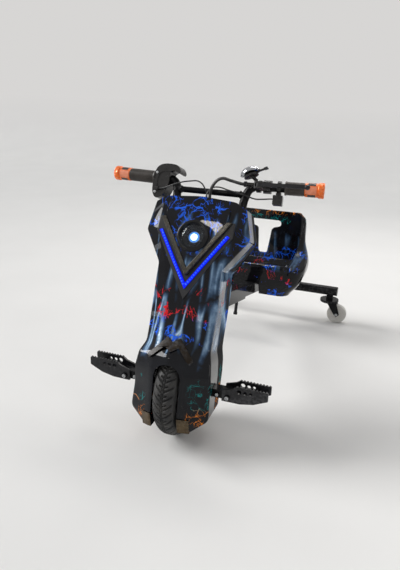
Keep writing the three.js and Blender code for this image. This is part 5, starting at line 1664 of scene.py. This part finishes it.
@dataclass
class Controls(Assembly):
    """Throttle housing, brake lever, switch and bell."""

    def throttle(self) -> None:
        """Rounds the housing, cuts its recess and adds its screws, cable nipple and ring."""
        spots = [((x, y, z), (0, y, 0), 3.4) for x, z in ((-27, 10), (-25, -42)) for y in (-19, 19)]
        self.bolts("housing_screws", spots, bar_end(-1), Body.STEERING)
        outline = [
            (-35, 20), (-17, 36), (25, 37), (38, 27), (42, 15), (35, 12), (24, 21), (8, 15), (12, -8), (9, -28),
            (1, -46), (-10, -56), (-23, -58), (-34, -44), (-37, -20),
        ]
        for _ in range(2):
            pairs = zip(outline, outline[1:] + outline[:1])
            outline = [
                tuple(a + (b - a) * share for a, b in zip(first, second))
                for first, second in pairs
                for share in (0.25, 0.75)
            ]
        housing = prism("housing", outline, -19, 19, Facing.FRONT)
        recess = prism("recess", [(x * 0.62 - 1, z * 0.62 - 7) for x, z in outline], -30, -17, Facing.FRONT)
        cut(housing, recess)
        nipple = rod("nipple", (-14.8, -21.7, -31.9), (-26.8, -21.7, -31.9), 4.5, 24)
        piece = joined("housing_made", [softened(housing, 3.6, 4, 34), softened(nipple, 0.6)])
        self.dress(piece, "moulding", Body.STEERING, "throttle_housing", place=bar_end(-1))
        self.spun("housing_ring", [
            (11.3, 0), (20.5, 0), (21.2, 1), (21.2, 3.4), (20.4, 4.4), (11.3, 4.4),
        ], bar_end(-1) @ shift(-33, 0, 0) @ turn(-90, "Y"), "moulding", Body.STEERING)

    def brake(self) -> None:
        """Rounds the bracket and the lever and adds the barrel's adjuster."""
        self.rounded("brake_bracket", 0.9, "moulding", Body.STEERING)
        self.rounded("brake_lever", 2.0, "black_alloy", Body.BRAKE, 3)
        self.spun("adjuster", [
            (4.2, 0), (6.6, 0), (7, 0.6), (7, 2.2), (6.4, 2.6), (7, 3.0), (7, 4.6), (6.4, 5.0), (7, 5.4),
            (7, 7), (6.4, 7.6), (4.2, 7.6),
        ], bar_end(1) @ shift(-25, -36, -3) @ turn(-90, "Y"), "black_alloy", Body.STEERING, steps=20)
        self.bolts("pivot_bolt", [((5, -36, 5.9), (0, 0, 1), 4.0)], bar_end(1), Body.STEERING)

    def switch(self) -> None:
        """Builds the switch block on its neck and clamp ring, and rounds its button."""
        box = block("switch_box", (40.2, -20.3, -45.8), (64.8, 5.4, -21.5))
        cut(box, rod("well", (52.5, -1.6, -30.5), (52.5, 40, -30.5), 6.3))
        neck = block("switch_neck", (46, -11, -22.8), (59, 4, -13.5))
        ring = turned("switch_ring", [(11.3, 47.5), (17, 47.5), (17, 57.5), (11.3, 57.5)], 48)
        moved(ring, AXIS_TO_X)
        piece = joined("switch_made", [softened(box, 1.8, 3), softened(neck, 1.4, 2), softened(ring, 0.8)])
        self.dress(piece, "moulding", Body.STEERING, "switch_block", place=bar_end(1))
        self.rounded("switch_button", 0.8, "orange_plastic", Body.SWITCH)

    def bell(self) -> None:
        """Turns the dome and rounds the bell's other parts."""
        outer, inner = [], []
        for k in range(15):
            angle = math.radians(90 * k / 14)
            outer.append((26 * math.cos(angle), 4.8 + 16 * math.sin(angle)))
            inner.append((24.4 * math.cos(angle), 4.8 + 14.4 * math.sin(angle)))
        dome = [(25.2, 4.2), (26.4, 4.3), *outer, *reversed(inner)]
        self.spun("bell_cup", dome, BELL, "chrome", Body.STEERING, "bell_dome", angle=40)
        crown = [(0, 20.2), (4.2, 20.2), (4.4, 21.2), (3.4, 22.4), (0, 22.8)]
        self.spun("bell_crown", crown, BELL, "chrome", Body.STEERING, steps=24)
        self.rounded("bell_base", 0.8, "moulding", Body.STEERING)
        self.rounded("bell_thumb", 1.0, "moulding", Body.BELL)

    def build(self) -> None:
        """Builds the controls."""
        self.throttle()
        self.brake()
        self.switch()
        self.bell()


@dataclass
class Cables(Assembly):
    """The three cables from the controls into the fairing."""

    reach: float = 27.5
    across: float = 125.0
    foot: float = 440.0
    rise: float = 99.0
    gap: float = 0.3
    # across, forward, up
    brake: tuple[Triple, ...] = (
        (0.640, 0.965, 0.975), (0.500, 0.980, 1.010), (0.272, 1.000, 1.044), (0.110, 0.790, 0.873),
        (0.052, 0.540, 0.636), (0.048, 0.345, 0.455), (0.048, 0.345, 0.190),
    )
    throttle: tuple[Triple, ...] = (
        (-1.000, 0.400, 0.700), (-0.752, 0.560, 0.824), (-0.416, 0.658, 0.928), (-0.200, 0.658, 0.928),
        (-0.072, 0.420, 0.747), (-0.032, 0.160, 0.545), (-0.032, 0.145, 0.190),
    )
    switch: tuple[Triple, ...] = (
        (1.150, 0.120, 0.660), (0.992, 0.290, 0.640), (0.824, 0.345, 0.690), (0.416, 0.437, 0.795),
        (0.176, 0.437, 0.848), (0.048, 0.419, 0.798), (-0.024, 0.455, 0.636), (-0.024, 0.510, 0.455),
        (-0.024, 0.510, 0.190),
    )

    def run(
        self, name: str, sign: int, anchor: Triple, route: Sequence[Triple], radius: float, node: str,
    ) -> None:
        """Sweeps one cable.

        Args:
            name: The piece's name.
            sign: The side that it starts on.
            anchor: Where it leaves its control, on the bar end.
            route: Its places across, forwards and up.
            radius: Its radius.
            node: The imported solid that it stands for.
        """
        local = STEERING.inverted() @ bar_end(sign)
        x, y, z = anchor
        points = [local @ Vector((sign * (x - self.gap - out), y, z)) for out in (0, 2 * radius)]
        for a, f, u in route:
            points.append(Vector((a * self.across, -f * self.reach, self.foot + u * self.rise)))
        piece = smoothed(swept(name, points, radius, 4, 8), 50)
        self.dress(piece, "cable", Body.STEERING, node, place=STEERING)

    def build(self) -> None:
        """Builds the cables."""
        self.run("brake_hose", 1, (-29, -36, -3), self.brake, 4, "brake_cable")
        self.run("throttle_wire", -1, (14.8, -21.7, -31.9), self.throttle, 1.8, "throttle_cable")
        self.run("switch_wire", 1, (40, -7.5, -30.5), self.switch, 1.8, "switch_cable")


@dataclass
class FootPegs(Assembly):
    """Folding serrated pegs on bolted mounts."""

    height: float = 150.0
    # across, depth, way that it faces and radius of each bolt head
    heads: tuple[tuple[float, ...], ...] = (
        (140, -47.8, -1, 5.0), (112.4, -41.2, -1, 4.4), (140, -2.2, 1, 5.0),
    )

    def build(self) -> None:
        """Builds both pegs with their bolts."""
        for label, sign in SIDES:
            peg = f"peg_{label}"
            self.rounded(peg, 0.5, "black_alloy", peg, 1, whole=False)
            self.rounded(f"peg_mount_{label}", 0.8, "frame", Body.STEERING)
            spots = [((sign * x, y, self.height), (0, way, 0), radius) for x, y, way, radius in self.heads]
            self.bolts(f"peg_bolts_{label}", spots, UPRIGHT, Body.STEERING)


@dataclass
class Beam(Assembly):
    """Telescopic square beam, its clamp knob and the seat carrier."""

    def build(self) -> None:
        """Builds the beam."""
        self.rounded("front_frame", 1.8, "frame", Body.FRONT_FRAME, 3)
        self.rounded("rear_frame", 1.4, "frame", Body.FRAME, 3)
        self.rounded("lock_knob", 1.0, "black_alloy", Body.KNOB)


@dataclass
class RearAxle(Assembly):
    """Round cross bar with end caps on two swivel casters."""

    wheelbase: float = 915.0
    height: float = 128.0
    caster: float = 265.0
    trail: float = 34.0
    wheel_radius: float = 37.5
    wheel_half: float = 13.0

    def bar(self) -> None:
        """Builds the bar, its bosses and its end caps."""
        tube = turned("bar_tube", [
            (15.5, -290), (17.2, -290), (18, -289.2), (18, 289.2), (17.2, 290), (15.5, 290),
        ], 64)
        moved(tube, shift(0, self.wheelbase, self.height) @ AXIS_TO_X)
        pieces = [tube]
        for _, sign in SIDES:
            boss = turned("caster_boss", [
                (6.3, 94), (12.4, 94), (13, 94.8), (13, 106), (13.6, 110), (15, 113.5), (6.3, 114),
            ], 48)
            pieces.append(moved(boss, shift(sign * self.caster, self.wheelbase, 0)))
        piece = smoothed(joined("rear_bar_made", pieces), 40)
        self.dress(piece, "frame", Body.FRAME, "rear_bar", place=UPRIGHT)
        cap = [
            (0, 293.3), (15.5, 293.3), (17.4, 292.6), (18, 291.4), (18, 290.3), (15.2, 290.3),
            (15.2, 280.3), (0, 280.3),
        ]
        for label, sign in SIDES:
            name = f"bar_cap_{label}"
            place = UPRIGHT @ shift(0, self.wheelbase, self.height) @ turn(sign * 90, "Y")
            self.spun(f"{name}_made", cap, place, "moulding", Body.FRAME, name, angle=40)

    def wheel(self, label: str, sign: int) -> None:
        """Turns one caster wheel: tread, dished hub and bearing face.

        Args:
            label: The side's name.
            sign: The side.
        """
        half, radius = self.wheel_half, self.wheel_radius
        face = [
            (4.3, 0), (10, 0), (10.8, 0.6), (11, 2.6), (21, 2.6), (22, 1.0), (24.5, 0.6), (32, 0.2),
            (35, 1.2), (36.8, 3.4), (radius, 6.6),
        ]
        profile = [(r, dip - half) for r, dip in face]
        profile += [(r, -h) for r, h in reversed(profile)]
        place = UPRIGHT @ shift(sign * (self.caster + self.trail), self.wheelbase, radius) @ AXIS_TO_FRONT
        body = f"caster_wheel_{label}"
        self.spun(f"caster_tread_{label}", profile, place, "tread", body, body, steps=72, angle=35)

    def caster_fork(self, label: str, sign: int) -> None:
        """Rounds one caster fork and adds its top race and axle nuts.

        Args:
            label: The side's name.
            sign: The side.
        """
        across = sign * (self.caster + self.trail)
        spots = [((across, self.wheelbase + y * 18.5, self.wheel_radius), (0, y, 0), 5.6) for y in (-1, 1)]
        self.bolts(f"caster_bolts_{label}", spots, UPRIGHT, f"caster_{label}")
        self.spun(f"caster_race_{label}", [
            (13.4, 84.6), (30, 84.6), (34.4, 85.4), (36, 87.4), (36, 90.6), (34.6, 92.2), (28, 92.9),
            (13.4, 93.4),
        ], UPRIGHT @ shift(sign * self.caster, self.wheelbase, 0), "frame", f"caster_{label}", angle=40)
        self.rounded(f"caster_fork_{label}", 0.8, "frame", f"caster_{label}")
        self.rounded(f"caster_stem_{label}", 0.6, "steel", Body.FRAME)

    def build(self) -> None:
        """Builds the rear axle."""
        self.bar()
        for label, sign in SIDES:
            self.wheel(label, sign)
            self.caster_fork(label, sign)


@dataclass
class Seat(Assembly):
    """One-piece bucket seat with a T-shaped opening in its backrest."""

    half_width: float = 187.0
    front: float = 676.0
    depth: float = 187.0
    bottom: float = 150.0
    height: float = 283.0
    # height, half width, front and back
    outer: tuple[tuple[float, ...], ...] = (
        (0.000, 0.711, 0.150, 0.743), (0.177, 0.909, 0.053, 0.813), (0.353, 0.995, 0.005, 0.845),
        (0.428, 1.000, 0.000, 0.856), (0.495, 0.968, 0.316, 0.877), (0.671, 0.866, 0.610, 0.920),
        (0.883, 0.840, 0.727, 0.973), (0.972, 0.802, 0.797, 0.995), (1.000, 0.722, 0.866, 1.000),
    )
    bowl: tuple[tuple[float, ...], ...] = (
        (0.318, 0.668, 0.155, 0.727), (0.371, 0.898, 0.075, 0.791), (0.431, 0.968, 0.032, 0.818),
        (0.495, 0.936, 0.316, 0.829), (0.671, 0.834, 0.610, 0.882), (0.883, 0.807, 0.727, 0.936),
        (0.972, 0.770, 0.797, 0.958), (1.000, 0.700, 0.866, 0.966),
    )
    under: tuple[tuple[float, ...], ...] = (
        (0.000, 0.683, 0.180, 0.713), (0.177, 0.877, 0.086, 0.781), (0.297, 0.936, 0.053, 0.802),
    )
    columns: int = 96
    rim_low: float = 0.432
    rim_rise: float = 0.568
    # share of the depth at the middle of the underside and of the bowl, and the bowl's lowest height
    middles: Triple = (0.43, 0.45, 0.312)
    rear_wall: float = 69.0
    notch: float = 26.0

    @staticmethod
    def between(table: Sequence[Sequence[float]], height: float) -> list[float]:
        """Half width, front and back of a table at a height, on smooth curves.

        Args:
            table: The table's rows.
            height: The height's share.

        Returns:
            The three shares.
        """
        height = min(max(height, table[0][0]), table[-1][0])
        last = len(table) - 1
        i = next(k for k in range(last) if height <= table[k + 1][0] + 1e-9)
        low, high = table[i][0], table[i + 1][0]
        t = (height - low) / (high - low)
        shares = []
        for column in (1, 2, 3):
            slopes = []
            for k in (i, i + 1):
                before, after = table[max(k - 1, 0)], table[min(k + 1, last)]
                slopes.append((after[column] - before[column]) / (after[0] - before[0]) * (high - low))
            a, b = table[i][column], table[i + 1][column]
            h = (2 * t ** 3 - 3 * t ** 2 + 1) * a + (t ** 3 - 2 * t ** 2 + t) * slopes[0] * 0.6
            h += (3 * t ** 2 - 2 * t ** 3) * b + (t ** 3 - t ** 2) * slopes[1] * 0.6
            shares.append(h)
        return shares

    def ring_point(self, table: Sequence[Sequence[float]], height: float, column: int) -> Vector:
        """A point of the rounded ring at a height.

        Args:
            table: The surface's table.
            height: The height's share.
            column: The place round the ring, from the middle of the front.

        Returns:
            The point.
        """
        width, front, back = self.between(table, height)
        half = width * self.half_width
        low, high = self.front + front * self.depth, self.front + back * self.depth
        corner = min(half * 0.3, (high - low) * 0.45)
        per = self.columns // 8
        arms = [(1, low, -90), (1, high, 0), (-1, high, 90), (-1, low, 180)]
        quarter, rest = divmod((column + per) % self.columns, 2 * per)
        z = self.bottom + height * self.height

        def on_corner(index: int, bend: float) -> Vector:
            """A point of one corner's round.

            Args:
                index: The corner.
                bend: Degrees from the start of its round.

            Returns:
                The point.
            """
            side, y, start = arms[index % 4]
            middle = y + corner if y == low else y - corner
            angle = math.radians(start + bend)
            x = side * (half - corner) + corner * math.cos(angle)
            return Vector((x, middle + corner * math.sin(angle), z))

        if rest <= per:
            return on_corner(quarter, 90 * rest / per)
        return on_corner(quarter, 90).lerp(on_corner(quarter + 1, 0), (rest - per) / per)

    def rim_height(self, column: int) -> float:
        """Where the rim lies at a column: low in front, up to the top at the back.

        Args:
            column: The place round the ring.

        Returns:
            The height's share.
        """
        per = self.columns // 8
        place = (column + per) % self.columns
        share = min(place, 7 * per - place) / per
        return self.rim_low + self.rim_rise * min(max(share, 0.0), 1.0) ** 0.8

    def shell(self) -> Piece:
        """Lays the closed skin of the seat, from under the pan over the rim into the bowl.

        Returns:
            The skin.
        """
        rows: list[Callable[[int], Vector]] = []
        foot, pan = self.under[-1][0], self.bowl[0][0]
        under_depth, bowl_depth, lowest = self.middles
        centre_under = Vector((0, self.front + under_depth * self.depth, self.bottom + foot * self.height))
        centre_bowl = Vector((0, self.front + bowl_depth * self.depth, self.bottom + lowest * self.height))
        for share in (0.02, 0.35, 0.7, 0.92):
            rows.append(lambda c, s=share: centre_under.lerp(self.ring_point(self.under, foot, c), s))
        for k in range(9):
            height = foot * (1 - k / 8) ** 0.8
            rows.append(lambda c, h=height: self.ring_point(self.under, h, c))
        for k in range(19):
            rows.append(lambda c, s=k / 18: self.ring_point(self.outer, s * self.rim_height(c), c))
        for k in range(1, 5):
            rows.append(lambda c, a=math.pi * k / 5: self.lip(c, a))
        for k in range(19):
            rows.append(lambda c, s=k / 18: self.bowl_point(c, s))
        for share in (0.85, 0.55, 0.25, 0.02):
            rows.append(lambda c, s=share: centre_bowl.lerp(self.ring_point(self.bowl, pan, c), s))
        bpy.ops.mesh.primitive_grid_add(x_subdivisions=self.columns, y_subdivisions=len(rows) - 1, size=1)
        piece = named("bucket_seat")
        for vertex in piece.data.vertices:
            column = round((vertex.co.x + 0.5) * self.columns) % self.columns
            row = round((vertex.co.y + 0.5) * (len(rows) - 1))
            vertex.co = rows[row](column)
        piece = outward(piece)
        with editing(piece):
            bpy.ops.mesh.select_all(action="DESELECT")
            bpy.ops.mesh.select_non_manifold()
            bpy.ops.mesh.edge_face_add()
            bpy.ops.mesh.select_all(action="SELECT")
            bpy.ops.mesh.fill_holes(sides=0)
            bpy.ops.mesh.normals_make_consistent(inside=False)
        return piece

    def lip(self, column: int, angle: float) -> Vector:
        """A point of the rolled rim between the outer and the inner skin.

        Args:
            column: The place round the ring.
            angle: How far round the roll, from 0 on the outer skin to pi on the inner one.

        Returns:
            The point.
        """
        rim = self.rim_height(column)
        out = self.ring_point(self.outer, rim, column)
        inner = self.ring_point(self.bowl, rim, column)
        middle, half = (out + inner) / 2, (out - inner) / 2
        return middle + half * math.cos(angle) + Vector((0, 0, half.length * 0.8 * math.sin(angle)))

    def bowl_point(self, column: int, share: float) -> Vector:
        """A point of the bowl's skin, a share of the way down from the rim."""
        rim = self.rim_height(column)
        return self.ring_point(self.bowl, rim + (self.bowl[0][0] - rim) * share, column)

    def build(self) -> None:
        """Builds the seat."""
        piece = self.shell()
        back = self.front + self.depth
        half = [
            (50, 400), (56.5, 397.5), (60, 391), (60, 384), (57, 378.5), (50, 375.5), (33, 371), (27, 365),
            (25, 355), (18, 284), (16, 278), (11, 274),
        ]
        outline = half + [(-x, z) for x, z in reversed(half)]
        wall, side = back - self.rear_wall, self.notch
        slot = prism("slot", outline, wall, back + 40, Facing.FRONT)
        front_notch = softened(block("front_notch", (-side, 0, -5), (side, self.front + 46, 200)), 6, 3)
        rear_notch = softened(block("rear_notch", (-side, wall, -5), (side, back, 173)), 6, 3)
        socket = rod("socket_hole", (70, back - 92, 196), (70, back, 196), 9.3, 32)
        cut(piece, slot, front_notch, rear_notch, socket)
        self.dress(smoothed(piece, 48), "seat", Body.FRAME, "seat_shell", place=UPRIGHT)
        spots = [((x, y, 240.4), (0, 0, 1), 6.0) for x in (-108, 108) for y in (712, 790)]
        self.bolts("pan_bolts", spots, UPRIGHT, Body.FRAME)


@dataclass
class PowerBox(Assembly):
    """Battery tray with its lid, cells, controller and charging socket."""

    def build(self) -> None:
        """Builds the power box."""
        self.rounded("battery_tray", 0.7, "grey", Body.FRAME)
        spots = [((x, y, 231.9), (0, 0, 1), 2.2) for x in (-86, 86) for y in (717, 791)]
        self.bolts("lid_screws", spots, UPRIGHT, Body.FRAME)
        self.all_rounded(
            Body.FRAME, ("battery_lid", 0.8, "grey"), ("battery_pack", 1.2, "wrap"),
            ("controller", 1.0, "alloy"), ("charge_socket", 0.5, "moulding"),
        )


@dataclass
class Studio:
    """Camera, lamps, world and floor."""

    place: Triple = (0.461, -1.580, 0.855)
    yaw: float = 19.65
    pitch: float = 19.6
    roll: float = 1.95
    sensor: float = 36
    # the fitted lens: 545 pixels for a photograph of 570
    lens: float = 545 * 36 / 570
    floor_colour: Triple = (0.8, 0.79, 0.77)
    wall_colour: Triple = (0.68, 0.67, 0.66)
    # name, place, size, power and colour of each soft box
    lamps: tuple[tuple[str, Triple, Pair, float, Triple], ...] = (
        ("Overhead", (0.2, 0.9, 2.4), (1.6, 0.35), 12.0, (1.0, 0.98, 0.96)),
        ("Left strip", (-2.0, -1.2, 1.1), (0.1, 1.6), 2.0, (0.92, 0.96, 1.0)),
        ("Right strip", (2.1, -1.3, 1.1), (0.1, 1.4), 6.0, (1.0, 0.97, 0.93)),
        ("Window", (-0.64, -1.99, 2.2), (0.32, 0.1), 2.4, (1.0, 0.93, 0.82)),
        ("Back", (0.4, 1.9, 1.7), (1.4, 0.35), 8.0, (1.0, 0.97, 0.94)),
    )
    sun_power: float = 3.0
    sun_spread: float = 30.0
    sun_from: Triple = (-2.1, -0.5, 1.55)
    surround: float = 0.3
    surround_colour: Triple = (0.9, 0.94, 1.0)
    aim: Vector = field(default_factory=lambda: Vector((0.0, -0.2, 0.3)))

    def camera(self) -> None:
        """Puts the camera at the photograph's place and angle."""
        yaw, pitch, roll = (math.radians(v) for v in (self.yaw, self.pitch, self.roll))
        level = Vector((-math.sin(yaw), math.cos(yaw), 0))
        side = Vector((math.cos(yaw), math.sin(yaw), 0))
        ahead = level * math.cos(pitch) - Vector((0, 0, math.sin(pitch)))
        above = Vector((0, 0, math.cos(pitch))) + level * math.sin(pitch)
        right = side * math.cos(roll) + above * math.sin(roll)
        above = above * math.cos(roll) - side * math.sin(roll)
        bpy.ops.object.camera_add()
        camera = bpy.context.object
        camera.name = "Camera"
        axes = Matrix((right, above, -ahead)).transposed().to_4x4()
        camera.matrix_world = Matrix.Translation(self.place) @ axes
        camera.data.lens = self.lens
        camera.data.sensor_width = self.sensor
        camera.data.clip_start = 0.02
        bpy.context.scene.camera = camera

    def lights(self) -> None:
        """Hangs the soft lamps."""
        for name, place, size, power, colour in self.lamps:
            bpy.ops.object.light_add(type="AREA", location=place)
            lamp = bpy.context.object
            lamp.name = name
            lamp.data.shape = "RECTANGLE"
            lamp.data.size, lamp.data.size_y = size
            lamp.data.energy = power
            lamp.data.color = colour
            reach = self.aim - Vector(place)
            lamp.rotation_euler = reach.to_track_quat("-Z", "Y").to_euler()

    def sun(self) -> None:
        """Hangs the broad key light that lights floor and backdrop evenly."""
        bpy.ops.object.light_add(type="SUN", location=self.sun_from)
        lamp = bpy.context.object
        lamp.name = "Key"
        lamp.data.energy = self.sun_power
        lamp.data.angle = math.radians(self.sun_spread)
        reach = self.aim - Vector(self.sun_from)
        lamp.rotation_euler = reach.to_track_quat("-Z", "Y").to_euler()

    @staticmethod
    def seen(tree: Tree) -> Socket:
        """Finds the rays that show what they meet, straight or in metal and glass.

        Args:
            tree: The tree.

        Returns:
            1 for these rays and 0 for the others.
        """
        rays = tree.add("LightPath").outputs
        straight = tree.sum("MAXIMUM", rays["Is Camera Ray"], rays["Is Glossy Ray"])
        return tree.sum("MAXIMUM", straight, rays["Is Transmission Ray"])

    def world(self) -> None:
        """Gives a dim plain surround that looks as pale as the backdrop."""
        world = bpy.data.worlds.new("Surround")
        world.use_nodes = True
        tree = Tree(world.node_tree)
        light = tree.add("Background", {"Color": self.surround_colour, "Strength": self.surround})
        pale = tree.add("Background", {"Color": self.wall_colour})
        tree.add("OutputWorld", {"Surface": tree.blended(self.seen(tree), light, pale)})
        bpy.context.scene.world = world

    def floor(self) -> None:
        """Lays the plain pale floor that rises behind the object into a backdrop."""
        bpy.ops.mesh.primitive_plane_add(size=1)
        floor = named("Floor")
        front, back, bend, top, side = -9.0, 4.0, 2.5, 9.0, 14.0
        for vertex in floor.data.vertices:
            vertex.co = (math.copysign(side, vertex.co.x), front if vertex.co.y < 0 else back, 0)
        with editing(floor) as mesh:
            select(floor, mesh, lambda vertex: vertex.co.y > 0)
            bpy.ops.mesh.spin(steps=24, angle=math.radians(-90), center=(0, back, bend), axis=(1, 0, 0))
            bpy.ops.mesh.extrude_region_move(TRANSFORM_OT_translate={"value": (0, 0, top)})
        pick_only(floor)
        bpy.ops.object.shade_smooth()
        material = bpy.data.materials.new("Pale floor")
        material.use_nodes = True
        tree = Tree(material.node_tree)
        place = tree.add("TexCoord").outputs["Object"]
        share = tree.ranged(tree.noise(place, 3.0, 3.0), 0.3, 0.7)
        dim = tuple(part * 0.97 for part in self.floor_colour)
        colour = tree.mixed(share, self.floor_colour, dim)
        shader = tree.add("BsdfPrincipled", {
            "Base Color": colour, "Roughness": 0.8, "Specular IOR Level": 0.1,
        })
        wall = tree.add("Emission", {"Color": self.wall_colour})
        backdrop = tree.sum("MULTIPLY", self.seen(tree), tree.ranged(tree.along(place, "Z"), 0.0, 0.7))
        tree.add("OutputMaterial", {"Surface": tree.blended(backdrop, shader, wall)})
        floor.data.materials.append(material)

    def build(self) -> None:
        """Builds the studio."""
        self.camera()
        self.sun()
        self.lights()
        self.world()
        self.floor()
        bpy.context.scene.view_settings.view_transform = "Standard"


def main() -> None:
    """Builds every sub-assembly in order and reports each piece."""
    logging.basicConfig(level=logging.INFO, format="%(name)s: %(message)s")
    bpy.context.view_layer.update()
    Studio().build()
    made: dict[str, Material] = {}
    assemblies = (
        FrontWheel, Column, Fairing, Handlebar, Controls, Cables, FootPegs, Beam, RearAxle, Seat, PowerBox,
    )
    for assembly in assemblies:
        assembly(made).build()
        log.info("%s is built", assembly.__name__)
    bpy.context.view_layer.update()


if __name__ == "__main__":
    main()
